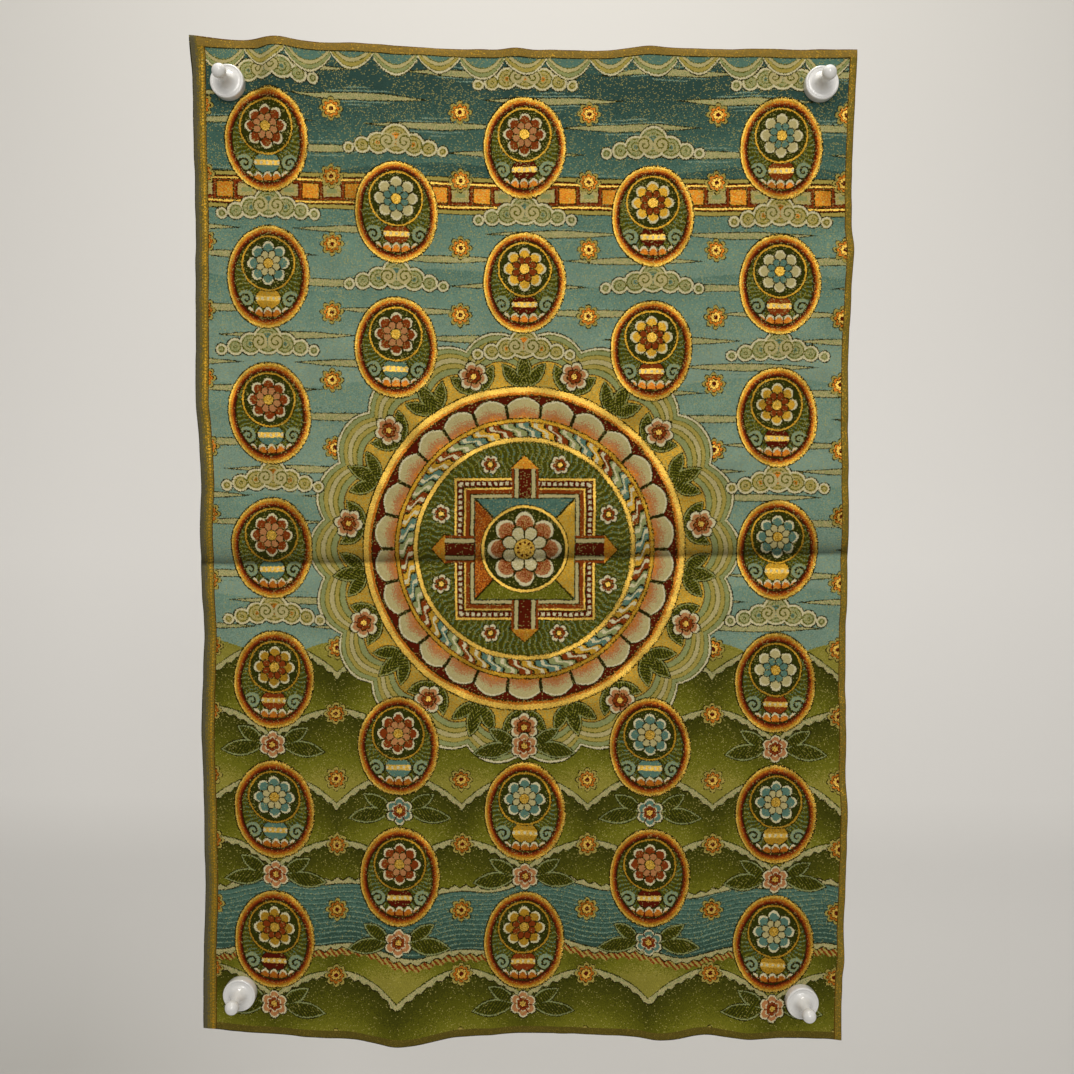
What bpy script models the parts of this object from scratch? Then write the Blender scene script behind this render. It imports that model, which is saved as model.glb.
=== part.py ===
"""Thangka wall hanging: a woven brocade panel held against a wall by four magnetic push pins.

Metres, +X to the viewer's right, +Y into the wall and +Z up. The wall's face is the plane Y = 0,
and the origin lies on it at the middle of the panel's top edge. The panel hangs loosely, so it
stands off the wall in soft ripples, and a fold across its middle is pressed back to the wall.
"""

import math
from typing import NamedTuple

import bmesh
import bpy
import numpy as np

# Driving dimensions of the panel
CLOTH_WIDTH = 0.600
CLOTH_HEIGHT = 0.910
CLOTH_THICKNESS = 0.0012
GRID_PITCH = 0.022

# Driving dimensions of a push pin, measured out from the cloth
PIN_RADIUS = 0.0150
PIN_SKIRT = 0.0090
PIN_EDGE_ROUND = 0.0012
PIN_DISH_RADIUS = 0.0132
PIN_DISH_DEPTH = 0.0005
PIN_NECK_RADIUS = 0.0043
PIN_NECK_START = 0.0190
PIN_KNOB_RADIUS = 0.0063
PIN_KNOB_CENTRE = 0.0315
PIN_SEAT_GAP = 0.0003
PIN_STEPS = 20

# The patches of cloth that lie flat on the wall under the pins
FLAT_LEFT = (-0.283, -0.245)
FLAT_RIGHT = (0.245, 0.284)
FLAT_TOP = (-0.058, -0.017)
FLAT_BOTTOM = (-0.896, -0.855)
FLAT_FADE = 0.020

# The fold across the middle, where the panel was once folded in half
CREASE_HEIGHT = -0.463
CREASE_SLOPE = 0.0133
CREASE_REACH = 0.200
CREASE_STAND_OFF = 0.0042
CREASE_FLANK = 0.017
CREASE_FADE = 0.110
CREASE_MIDDLE_SHARE = 0.30
CREASE_ROWS = (0.007, 0.018, 0.036)


class PinPlace(NamedTuple):
    """Where a push pin sits on the wall."""

    name: str
    x: float
    z: float


PINS = (
    PinPlace("pin_top_left", -0.2668, -0.0367),
    PinPlace("pin_top_right", 0.2649, -0.0345),
    PinPlace("pin_bottom_left", -0.2612, -0.8689),
    PinPlace("pin_bottom_right", 0.2612, -0.8744),
)


class Corner(NamedTuple):
    """How far a corner of the panel has moved from its place on a true rectangle."""

    right: float
    up: float


TOP_LEFT = Corner(right=0.0000, up=0.0033)
TOP_RIGHT = Corner(right=-0.0016, up=-0.0025)
BOTTOM_LEFT = Corner(right=0.0034, up=0.0075)
BOTTOM_RIGHT = Corner(right=-0.0004, up=-0.0022)


class EdgeWave(NamedTuple):
    """A stretch of edge that is pushed outwards, or drawn in where push is negative."""

    side: str
    place: float
    half_length: float
    push: float


EDGE_WAVES = (
    EdgeWave("top", -0.035, 0.135, -0.0052),
    EdgeWave("top", 0.090, 0.045, -0.0020),
    EdgeWave("top", 0.190, 0.060, -0.0012),
    EdgeWave("bottom", -0.262, 0.028, 0.0026),
    EdgeWave("bottom", -0.190, 0.062, 0.0082),
    EdgeWave("bottom", -0.080, 0.052, 0.0040),
    EdgeWave("bottom", 0.175, 0.030, -0.0020),
    EdgeWave("left", -0.165, 0.060, -0.0018),
    EdgeWave("left", -0.390, 0.050, -0.0048),
    EdgeWave("left", -0.532, 0.072, -0.0054),
    EdgeWave("left", -0.740, 0.090, -0.0036),
    EdgeWave("right", -0.110, 0.080, -0.0030),
    EdgeWave("right", -0.310, 0.110, -0.0038),
    EdgeWave("right", -0.540, 0.080, -0.0024),
    EdgeWave("right", -0.740, 0.085, 0.0016),
)


class Ripple(NamedTuple):
    """A soft bump in which the cloth stands off the wall."""

    x: float
    z: float
    half_width: float
    half_height: float
    lift: float


RIPPLES = (
    Ripple(-0.225, 0.000, 0.020, 0.060, 0.0135),
    Ripple(-0.009, 0.000, 0.011, 0.045, 0.0050),
    Ripple(0.108, 0.000, 0.024, 0.070, 0.0085),
    Ripple(0.205, 0.000, 0.022, 0.040, 0.0020),
    Ripple(-0.300, 0.000, 0.020, 0.022, 0.0080),
    Ripple(-0.112, -0.910, 0.038, 0.085, 0.0200),
    Ripple(0.130, -0.910, 0.025, 0.060, 0.0085),
    Ripple(0.213, -0.910, 0.022, 0.030, 0.0045),
    Ripple(-0.300, -0.380, 0.030, 0.030, 0.0030),
    Ripple(0.300, -0.180, 0.030, 0.016, 0.0075),
    Ripple(0.300, -0.695, 0.035, 0.024, 0.0080),
    Ripple(0.300, -0.832, 0.020, 0.018, 0.0060),
    Ripple(-0.150, -0.210, 0.060, 0.160, 0.0030),
    Ripple(0.085, -0.270, 0.070, 0.170, 0.0028),
    Ripple(-0.030, -0.690, 0.110, 0.130, 0.0035),
    Ripple(0.190, -0.610, 0.060, 0.100, 0.0022),
)

# Colours and finishes
CLOTH_COLOUR = (0.115, 0.150, 0.065, 1.0)
CLOTH_ROUGHNESS = 0.85
PIN_COLOUR = (0.80, 0.79, 0.76, 1.0)
PIN_ROUGHNESS = 0.28


def remove_everything():
    """Empty the scene of the objects it opened with."""
    for thing in list(bpy.data.objects):
        bpy.data.objects.remove(thing, do_unlink=True)


def new_material(name, colour, roughness):
    """A Principled material of one colour and roughness, with no metal in it."""
    material = bpy.data.materials.new(name)
    material.use_nodes = True
    shader = material.node_tree.nodes["Principled BSDF"]
    shader.inputs["Base Color"].default_value = colour
    shader.inputs["Roughness"].default_value = roughness
    shader.inputs["Metallic"].default_value = 0.0
    return material


def add_object(name, mesh, material, collection):
    """Put a mesh in the collection as a named object with one material."""
    mesh.materials.append(material)
    made = bpy.data.objects.new(name, mesh)
    collection.objects.link(made)
    return made


def filled_stations(fixed):
    """Grid lines through every fixed place, with even lines between them no wider than the pitch."""
    fixed = sorted(fixed)
    stations = [fixed[0]]
    for low, high in zip(fixed, fixed[1:]):
        parts = math.ceil(round((high - low) / GRID_PITCH, 6))
        stations.extend(low + (high - low) * part / parts for part in range(1, parts + 1))
    return np.array(stations)


def soft_step(value):
    """Rise smoothly from 0 to 1 as the value goes from 0 to 1."""
    held = np.clip(value, 0.0, 1.0)
    return held * held * (3.0 - 2.0 * held)


def bell(distance, half_length):
    """A bell curve, 1 at its middle and 0.37 at its half length."""
    return np.exp(-((distance / half_length) ** 2))


def clear_of_pins(x, z):
    """0 on the flat patches under the pins, rising to 1 a little way off them."""
    share = np.ones_like(x)
    for across in (FLAT_LEFT, FLAT_RIGHT):
        for along in (FLAT_TOP, FLAT_BOTTOM):
            past_x = np.maximum(np.maximum(across[0] - x, x - across[1]), 0.0)
            past_z = np.maximum(np.maximum(along[0] - z, z - along[1]), 0.0)
            share = share * soft_step(np.hypot(past_x, past_z) / FLAT_FADE)
    return share


def crease_lift(x, z):
    """Stand-off on both flanks of the fold, sharp at the fold itself and weaker mid-panel."""
    away = np.abs(z - CREASE_HEIGHT)
    to_side = np.abs(x) / (CLOTH_WIDTH / 2.0)
    share = CREASE_MIDDLE_SHARE + (1.0 - CREASE_MIDDLE_SHARE) * soft_step(to_side * 1.4 - 0.4)
    return CREASE_STAND_OFF * share * (1.0 - np.exp(-away / CREASE_FLANK)) * bell(away, CREASE_FADE)


def wall_lift(x, z):
    """How far the cloth's back stands off the wall at a place on the flat panel."""
    lift = crease_lift(x, z)
    near_crease = 1.0 - 0.85 * bell(z - CREASE_HEIGHT, CREASE_FLANK * 2.0)
    for ripple in RIPPLES:
        bump = bell(x - ripple.x, ripple.half_width) * bell(z - ripple.z, ripple.half_height)
        lift = lift + ripple.lift * bump * near_crease
    return lift * clear_of_pins(x, z)


def edge_push(side, place):
    """Outward shift of one edge at a place along it."""
    push = np.zeros_like(place)
    for wave in EDGE_WAVES:
        if wave.side == side:
            push = push + wave.push * bell(place - wave.place, wave.half_length)
    return push


def hang(x, z):
    """Carry places on the flat panel to where they hang, as three arrays of coordinates."""
    right = np.clip(x / CLOTH_WIDTH + 0.5, 0.0, 1.0)
    up = np.clip(z / CLOTH_HEIGHT + 1.0, 0.0, 1.0)
    top_x = TOP_LEFT.right * (1.0 - right) + TOP_RIGHT.right * right
    bottom_x = BOTTOM_LEFT.right * (1.0 - right) + BOTTOM_RIGHT.right * right
    top_z = TOP_LEFT.up * (1.0 - right) + TOP_RIGHT.up * right
    bottom_z = BOTTOM_LEFT.up * (1.0 - right) + BOTTOM_RIGHT.up * right
    hung_x = x + top_x * up + bottom_x * (1.0 - up)
    hung_x = hung_x + edge_push("right", z) * right**2 - edge_push("left", z) * (1.0 - right) ** 2
    hung_z = z + top_z * up + bottom_z * (1.0 - up)
    hung_z = hung_z + edge_push("top", x) * up**3 - edge_push("bottom", x) * (1.0 - up) ** 3
    hung_z = hung_z + CREASE_SLOPE * x * bell(z - CREASE_HEIGHT, CREASE_REACH)
    return hung_x, -wall_lift(x, z), hung_z


def make_cloth(collection):
    """The woven panel: a grid carried to its hanging shape and given its thickness."""
    half_width = CLOTH_WIDTH / 2.0
    columns = filled_stations((-half_width, *FLAT_LEFT, *FLAT_RIGHT, half_width))
    rows = [0.0, *FLAT_TOP, CREASE_HEIGHT, *FLAT_BOTTOM, -CLOTH_HEIGHT]
    rows.extend(CREASE_HEIGHT + reach for reach in CREASE_ROWS)
    rows.extend(CREASE_HEIGHT - reach for reach in CREASE_ROWS)
    rows = filled_stations(rows)

    grid = bmesh.new()
    bmesh.ops.create_grid(grid, x_segments=len(columns) - 1, y_segments=len(rows) - 1, size=0.5)
    for vert in grid.verts:
        column = round((vert.co.x + 0.5) * (len(columns) - 1))
        row = round((vert.co.y + 0.5) * (len(rows) - 1))
        hung = hang(columns[column : column + 1], rows[row : row + 1])
        vert.co = [float(axis[0]) for axis in hung]
    mesh = bpy.data.meshes.new("thangka_cloth")
    grid.to_mesh(mesh)
    grid.free()

    material = new_material("woven_brocade", CLOTH_COLOUR, CLOTH_ROUGHNESS)
    cloth = add_object("thangka_cloth", mesh, material, collection)
    solidify = cloth.modifiers.new("thickness", "SOLIDIFY")
    solidify.thickness = CLOTH_THICKNESS
    solidify.offset = 1.0
    solidify.use_even_offset = True
    mesh.shade_smooth()
    mesh.set_sharp_from_angle(angle=math.radians(40))
    return cloth


def arc(centre, radius, start, end, parts):
    """Points along an arc in the profile's plane, angles in degrees from the radius axis."""
    angles = np.radians(np.linspace(start, end, parts + 1))
    return [(centre[0] + radius * math.cos(a), centre[1] + radius * math.sin(a)) for a in angles]


def pin_profile():
    """Half outline of a push pin, from the tip of its knob down its outer side to its base."""
    neck_angle = -math.degrees(math.acos(PIN_NECK_RADIUS / PIN_KNOB_RADIUS))
    points = arc((0.0, PIN_KNOB_CENTRE), PIN_KNOB_RADIUS, 90.0, neck_angle, 6)
    points[0] = (0.0, points[0][1])
    points.append((PIN_NECK_RADIUS, PIN_NECK_START))
    dish_height = PIN_SKIRT - PIN_DISH_DEPTH
    for share in (0.25, 0.5, 0.75):
        sweep = PIN_NECK_RADIUS + (PIN_DISH_RADIUS - PIN_NECK_RADIUS) * share
        height = dish_height + (PIN_NECK_START - dish_height) * (1.0 - share) ** 3
        points.append((sweep, height))
    points.append((PIN_DISH_RADIUS, dish_height))
    rim = (PIN_RADIUS - PIN_EDGE_ROUND, PIN_SKIRT - PIN_EDGE_ROUND)
    points.extend(arc(rim, PIN_EDGE_ROUND, 90.0, 0.0, 2))
    points.append((PIN_RADIUS, 0.0))
    points.append((0.0, 0.0))
    return points


def make_pin_mesh():
    """An open profile standing on the radius axis, ready to be turned."""
    mesh = bpy.data.meshes.new("push_pin_profile")
    points = [(radius, 0.0, height) for radius, height in pin_profile()]
    mesh.from_pydata(points, [(i, i + 1) for i in range(len(points) - 1)], [])
    return mesh


def make_pin(place, material, collection):
    """One push pin, turned about its own axis and set on the front of the cloth."""
    pin = add_object(place.name, make_pin_mesh(), material, collection)
    pin.location = (place.x, -CLOTH_THICKNESS - PIN_SEAT_GAP, place.z)
    pin.rotation_euler = (math.radians(90), 0.0, 0.0)
    turned = pin.modifiers.new("turned", "SCREW")
    turned.axis = "Z"
    turned.steps = PIN_STEPS
    turned.render_steps = PIN_STEPS
    turned.use_merge_vertices = True
    turned.merge_threshold = 0.00001
    turned.use_smooth_shade = True
    return pin


def main():
    """Build the panel and its four pins in one collection."""
    remove_everything()
    collection = bpy.data.collections.new("thangka_wall_hanging")
    bpy.context.scene.collection.children.link(collection)
    make_cloth(collection)
    plastic = new_material("pin_plastic", PIN_COLOUR, PIN_ROUGHNESS)
    for place in PINS:
        make_pin(place, plastic, collection)
    bpy.context.view_layer.update()


main()
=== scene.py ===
"""Looks of a woven thangka panel and its four push pins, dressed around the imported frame.

Metres, +X to the viewer's right, +Y away from the viewer and +Z up, with the origin at the middle of
the panel's top edge, on the plane that its back rests on. The panel's pattern is drawn in
millimetres from the panel's own centre, in the coordinates of the flat cloth, so it follows every
ripple.
"""

from __future__ import annotations

import logging
import math
from collections.abc import Callable
from dataclasses import dataclass
from enum import Enum, IntEnum
from functools import cached_property
from typing import NamedTuple

import bpy
import numpy as np
from mathutils import Matrix, Vector

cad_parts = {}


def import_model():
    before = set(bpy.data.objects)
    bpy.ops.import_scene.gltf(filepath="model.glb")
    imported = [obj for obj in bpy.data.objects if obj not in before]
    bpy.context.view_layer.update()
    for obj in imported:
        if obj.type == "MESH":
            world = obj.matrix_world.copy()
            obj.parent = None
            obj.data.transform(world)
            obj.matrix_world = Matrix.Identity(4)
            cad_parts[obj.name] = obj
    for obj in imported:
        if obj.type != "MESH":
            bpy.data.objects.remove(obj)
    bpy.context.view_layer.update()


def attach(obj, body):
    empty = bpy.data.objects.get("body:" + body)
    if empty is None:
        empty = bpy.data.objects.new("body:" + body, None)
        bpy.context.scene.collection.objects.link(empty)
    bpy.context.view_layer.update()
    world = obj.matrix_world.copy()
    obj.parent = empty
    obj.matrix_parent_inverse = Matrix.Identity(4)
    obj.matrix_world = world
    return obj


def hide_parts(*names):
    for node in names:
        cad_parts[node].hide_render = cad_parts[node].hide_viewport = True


LOG = logging.getLogger("thangka")

BODY = "root"
TURN = 2.0 * math.pi

# The photo's width and focal length in its own pixels
PHOTO_WIDTH = 1074
PHOTO_FOCAL = 1076.0

# The pattern is drawn in millimetres
MM = 1000.0
CLOTH_WIDTH = 600.0
CLOTH_HEIGHT = 910.0

# How far a pick's random number carries a shade towards the next yarn
GRAIN_SPREAD = 0.95

# Sockets of the Mix node
MIX_SHARE = 0
NUMBER_BELOW, NUMBER_ABOVE = 2, 3
COLOUR_BELOW, COLOUR_ABOVE = 6, 7
MIXED_COLOUR = 2


class Yarn(IntEnum):
    """Woven colours, in the order in which neighbours shade into each other.

    Each has a number, and a tone for the front and one for the back of the cloth, where a jacquard
    weave shows the other yarns.
    """

    def __new__(cls, number: int, front: str, back: str) -> Yarn:
        """Make the yarn of that number, with its two tones.

        Args:
            number: Its place in the order.
            front: Its tone on the front, such as #24474a.
            back: Its tone on the back.

        Returns:
            The yarn.
        """
        yarn = int.__new__(cls, number)
        yarn._value_ = number
        yarn.front = front
        yarn.back = back
        return yarn

    NIGHT_TEAL = 0, "#2f4c46", "#8a7c4c"
    TEAL = 1, "#426358", "#7d7146"
    SEA_TEAL = 2, "#587a6b", "#6f673f"
    GREY_BLUE = 3, "#6f8d7b", "#635a36"
    PALE_BLUE = 4, "#839b88", "#574d2e"
    CREAM = 5, "#b9ac78", "#393c22"
    IVORY = 6, "#d3c9a0", "#323620"
    PALE_GREEN = 7, "#8d9460", "#4a3a20"
    BOTTLE = 8, "#2f3309", "#8d8454"
    DARK_OLIVE = 9, "#454610", "#7f7648"
    OLIVE = 10, "#5a5a14", "#6d603a"
    MOSS = 11, "#71701e", "#5d4e2f"
    LIME = 12, "#8f8736", "#4f4026"
    STRAW = 13, "#a8974a", "#465040"
    GOLD = 14, "#a67d22", "#3c5044"
    BRIGHT_GOLD = 15, "#cfa748", "#33463c"
    ORANGE = 16, "#a8611a", "#486050"
    RUST = 17, "#803610", "#587058"
    DARK_RED = 18, "#541206", "#6d7e60"
    BLUSH = 19, "#b57a4c", "#40563c"
    OUTLINE = 20, "#232105", "#93885a"
    DEEP_WATER = 21, "#365246", "#7d683c"
    WATER = 22, "#4e7062", "#6c5a36"
    FOAM = 23, "#7f967e", "#4f442a"
    BROWN = 24, "#5a3d10", "#5d6648"
    SELVEDGE = 25, "#5e5942", "#4b4a38"
    BORDER_GOLD = 26, "#7c6b2a", "#4e4f2e"
    BORDER_BROWN = 27, "#8f7536", "#4b4a2c"
    BORDER_OLIVE = 28, "#60541f", "#5a5630"


METALLIC_YARNS = (Yarn.GOLD, Yarn.BRIGHT_GOLD, Yarn.ORANGE)
YARN_PLACES = 32

Bands = tuple[tuple[float, Yarn], ...]


def linear_colour(tone: str) -> tuple[float, float, float, float]:
    """Turn a screen colour such as #24474a into Blender's linear colour.

    Args:
        tone: A hash sign and three pairs of hexadecimal digits.

    Returns:
        Red, green, blue and an alpha of 1.
    """
    parts = [int(tone[start : start + 2], 16) / 255.0 for start in (1, 3, 5)]
    red, green, blue = (p / 12.92 if p <= 0.04045 else ((p + 0.055) / 1.055) ** 2.4 for p in parts)
    return (red, green, blue, 1.0)


def maths(operation: str, swapped: bool = False) -> Callable[..., Wire]:
    """Make a method that adds a Math node on a wire and the values given.

    Args:
        operation: The node's operation.
        swapped: Whether the values come before the wire.

    Returns:
        The method.
    """

    def apply(wire: Wire, *others: Wire | float) -> Wire:
        """Add the node."""
        values = (*others, wire) if swapped else (wire, *others)
        return wire.graph.math(operation, *values)

    return apply


class Wire:
    """A shader socket that takes part in Python expressions, each adding one Math node.

    A comparison gives 1 or 0. least and most give the smaller and the larger of two, near gives 1
    within its second value either side of its first, fraction is what is left above the whole
    number below, and pingpong zigzags between 0, at 0, and its value.
    """

    def __init__(self, graph: Graph, socket: bpy.types.NodeSocket) -> None:
        """Keep the socket and the graph that it belongs to."""
        self.graph = graph
        self.socket = socket

    def __truediv__(self, other: Wire | float) -> Wire:
        """Quotient, which is a product with the inverse where the other is a number.

        Args:
            other: The divisor.

        Returns:
            The quotient.
        """
        if isinstance(other, Wire):
            return self.graph.math("DIVIDE", self, other)
        return self * (1.0 / other)

    __add__ = maths("ADD")
    __radd__ = maths("ADD", swapped=True)
    __sub__ = maths("SUBTRACT")
    __rsub__ = maths("SUBTRACT", swapped=True)
    __mul__ = maths("MULTIPLY")
    __rmul__ = maths("MULTIPLY", swapped=True)
    __rtruediv__ = maths("DIVIDE", swapped=True)
    __lt__ = maths("LESS_THAN")
    __gt__ = maths("GREATER_THAN")
    __abs__ = maths("ABSOLUTE")
    floor = maths("FLOOR")
    round = maths("ROUND")
    fraction = maths("FRACT")
    sine = maths("SINE")
    cosine = maths("COSINE")
    pingpong = maths("PINGPONG")
    least = maths("MINIMUM")
    most = maths("MAXIMUM")
    near = maths("COMPARE")


class Graph:
    """The node tree of one material, with short ways to add nodes to it."""

    def __init__(self, name: str) -> None:
        """Start an empty material of that name.

        Args:
            name: The material's name.
        """
        self.material = bpy.data.materials.new(name)
        self.material.use_nodes = True
        self.tree = self.material.node_tree
        self.tree.nodes.clear()

    def node(
        self, kind: str, settings: dict[str, object], inputs: dict[int | str, object]
    ) -> bpy.types.Node:
        """Add a node, set its settings, then fill or link its sockets.

        Args:
            kind: The node's type, such as ShaderNodeMix.
            settings: Its settings by name; stops holds a ramp's places and colours.
            inputs: Values or links by the socket's index or name.

        Returns:
            The new node.
        """
        made = self.tree.nodes.new(kind)
        for name, value in settings.items():
            if name == "stops":
                self.set_stops(made.color_ramp, value)
            else:
                setattr(made, name, value)
        for key, value in inputs.items():
            if isinstance(value, Wire):
                self.tree.links.new(value.socket, made.inputs[key])
            else:
                made.inputs[key].default_value = value
        return made

    def set_stops(self, ramp: bpy.types.ColorRamp, stops: list[tuple[float, tuple]]) -> None:
        """Give a ramp constant steps at the places and colours listed.

        Args:
            ramp: The ramp to set.
            stops: Pairs of place and colour, lowest place first.
        """
        ramp.interpolation = "CONSTANT"
        while len(ramp.elements) > 1:
            ramp.elements.remove(ramp.elements[-1])
        ramp.elements[0].position = stops[0][0]
        ramp.elements[0].color = stops[0][1]
        for place, colour in stops[1:]:
            ramp.elements.new(place).color = colour

    def wire(self, node: bpy.types.Node, output: int | str = 0) -> Wire:
        """Wrap one of a node's outputs."""
        return Wire(self, node.outputs[output])

    def math(self, operation: str, *values: Wire | float) -> Wire:
        """Add a Math node on up to three values."""
        made = self.node("ShaderNodeMath", {"operation": operation}, dict(enumerate(values)))
        return self.wire(made)

    def over(self, below: Wire | float, above: Wire | float, mask: Wire) -> Wire:
        """Put a number over another where the mask is 1."""
        inputs = {MIX_SHARE: mask, NUMBER_BELOW: below, NUMBER_ABOVE: above}
        return self.wire(self.node("ShaderNodeMix", {"data_type": "FLOAT"}, inputs))

    def blend(self, below: Wire | tuple, above: Wire | tuple, share: Wire) -> Wire:
        """Mix a colour into another by the share given."""
        inputs = {MIX_SHARE: share, COLOUR_BELOW: below, COLOUR_ABOVE: above}
        return self.wire(self.node("ShaderNodeMix", {"data_type": "RGBA"}, inputs), MIXED_COLOUR)

    def parts(self, place: Wire) -> tuple[Wire, Wire, Wire]:
        """Split a vector into its three coordinates."""
        node = self.node("ShaderNodeSeparateXYZ", {}, {0: place})
        return self.wire(node, 0), self.wire(node, 1), self.wire(node, 2)

    def bump(self, height: Wire, strength: float, distance: float) -> Wire:
        """Turn a height into a bumped normal."""
        inputs = {"Strength": strength, "Distance": distance, "Height": height}
        return self.wire(self.node("ShaderNodeBump", {}, inputs))

    def bands(self, value: Wire, steps: Bands) -> Wire:
        """Look a number up in a table of bands.

        Args:
            value: The number to look up.
            steps: Pairs of a band's outer edge and its yarn, nearest first. The last band runs on
                past its edge, which only sets the scale.

        Returns:
            The number of the yarn of the band that the value falls in.
        """
        top = steps[-1][0]
        stops = []
        start = 0.0
        for edge, yarn in steps:
            stops.append((start, (0.0, 0.0, 0.0, yarn / YARN_PLACES)))
            start = edge / top
        ramp = self.node("ShaderNodeValToRGB", {"stops": stops}, {0: value / top})
        return self.wire(ramp, 1) * float(YARN_PLACES)

    def point(self, across: Wire | float, up: Wire | float) -> Wire:
        """Join two numbers into a vector."""
        return self.wire(self.node("ShaderNodeCombineXYZ", {}, {0: across, 1: up}))

    def chance(self, place: Wire) -> Wire:
        """A random number from 0 to 1 for each place."""
        node = self.node("ShaderNodeTexWhiteNoise", {"noise_dimensions": "2D"}, {"Vector": place})
        return self.wire(node, "Value")

    def vector(self, operation: str, *values: Wire | tuple) -> Wire:
        """Add a Vector Math node on up to three vectors."""
        made = self.node("ShaderNodeVectorMath", {"operation": operation}, dict(enumerate(values)))
        return self.wire(made, "Value" if operation == "DISTANCE" else "Vector")

    def noise(self, place: Wire, scale: float, detail: float) -> bpy.types.Node:
        """Add flat noise of that scale."""
        inputs = {"Vector": place, "Scale": scale, "Detail": detail}
        return self.node("ShaderNodeTexNoise", {"noise_dimensions": "2D"}, inputs)

    def principled(self, settings: dict[str, object]) -> None:
        """Finish the material with a Principled shader.

        Args:
            settings: Values or links by the shader's socket name.
        """
        shader = self.node("ShaderNodeBsdfPrincipled", {}, settings)
        self.node("ShaderNodeOutputMaterial", {}, {"Surface": self.wire(shader)})


class Spot:
    """Where a pick lies in a motif's own millimetres, x to the right and y up."""

    def __init__(self, graph: Graph, x: Wire, y: Wire) -> None:
        """Keep the two coordinates.

        Args:
            graph: The material to draw in.
            x: Millimetres to the right.
            y: Millimetres upwards.
        """
        self.graph = graph
        self.x = x
        self.y = y

    @cached_property
    def angle(self) -> Wire:
        """Angle from straight up, clockwise, in radians."""
        return self.graph.math("ARCTAN2", self.x, self.y)

    @cached_property
    def away(self) -> Wire:
        """Distance from the motif's centre."""
        return self.graph.math("SQRT", self.x * self.x + self.y * self.y)

    def mirrored(self) -> Spot:
        """The same motif with its left half a copy of its right."""
        return Spot(self.graph, abs(self.x), self.y)

    def moved(self, x: float, y: float) -> Spot:
        """Measure from another centre."""
        return Spot(self.graph, self.x - x, self.y - y)

    def petal(self, count: int, shift: float = 0.0) -> Wire:
        """0 at the middle of each of count petals, rising to 1 between two.

        Args:
            count: How many petals.
            shift: 0.5 turns them by half a petal.

        Returns:
            The petal share.
        """
        share = self.angle * (count / TURN)
        if shift:
            share = share + shift
        return share.pingpong(0.5) * 2.0

    def bloom(
        self, petals: int, radius: float, notch: float, shift: float = 0.0
    ) -> tuple[Wire, Wire]:
        """Round-petalled bloom, whose rim is radius less notch times the square of petal.

        Args:
            petals: How many petals.
            radius: Radius at a petal's tip.
            notch: How much less the rim is between two petals.
            shift: 0.5 turns the bloom by half a petal.

        Returns:
            The share of the way to the rim, and the petal share.
        """
        turn = self.petal(petals, shift)
        return self.away / (radius - turn * turn * notch), turn

    def leaf(self, root: tuple[float, float], turn: float, size: tuple[float, float]) -> Wire:
        """Depth inside a pointed leaf.

        It is the half width times one minus the square of the share of the half length, less the
        distance from the midrib.

        Args:
            root: The leaf's middle.
            turn: Its angle in degrees, anticlockwise from x.
            size: Its half length and half width.

        Returns:
            The depth, positive inside.
        """
        cosine = math.cos(math.radians(turn))
        sine = math.sin(math.radians(turn))
        east = self.x - root[0]
        north = self.y - root[1]
        along = east * cosine + north * sine
        aside = abs(north * cosine - east * sine)
        return size[1] - along * along * (size[1] / size[0] ** 2) - aside


class Loom:
    """The cloth being patterned: each pick's place and chance, and the yarn that shows there."""

    def __init__(self, graph: Graph, spot: Spot, grain: Wire) -> None:
        """Start with a plain teal ground.

        Args:
            graph: The material to draw in.
            spot: The pick's place from the panel's centre.
            grain: The pick's random number.
        """
        self.graph = graph
        self.spot = spot
        self.grain = grain
        self.yarn: Wire | Yarn = Yarn.TEAL

    def lay(self, yarn: Wire | Yarn, mask: Wire) -> None:
        """Show a yarn where the mask is 1."""
        self.yarn = self.graph.over(self.yarn, yarn, mask)

    def mix(self, first: Wire | Yarn, second: Wire | Yarn, share: float | Wire) -> Wire:
        """Pick by pick one of two yarns, the second with the chance given."""
        return self.graph.over(first, second, self.grain < share)


@dataclass(frozen=True)
class ScaleRows:
    """Rows of arches that overlap like fish scales."""

    foot: float
    pitch: float
    width: float
    rise: float

    def depth(self, spot: Spot) -> Wire:
        """How far a place lies below the edge of the arch that covers it.

        An arch's edge is its row's foot plus rise times one minus the square of the share of its
        half width. A place above the nearer row's edge belongs to the row behind.

        Args:
            spot: The place.

        Returns:
            The depth below the edge, from 0.
        """
        half = self.width / 2.0
        level = (spot.y - self.foot) / self.pitch
        row = level.floor()
        up = (level - row) * self.pitch
        across = (spot.x + row * half).pingpong(half)
        front = self.rise - across * across * (self.rise / half**2)
        other = half - across
        behind = self.rise + self.pitch - other * other * (self.rise / half**2)
        return spot.graph.over(behind, front, up < front) - up


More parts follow.
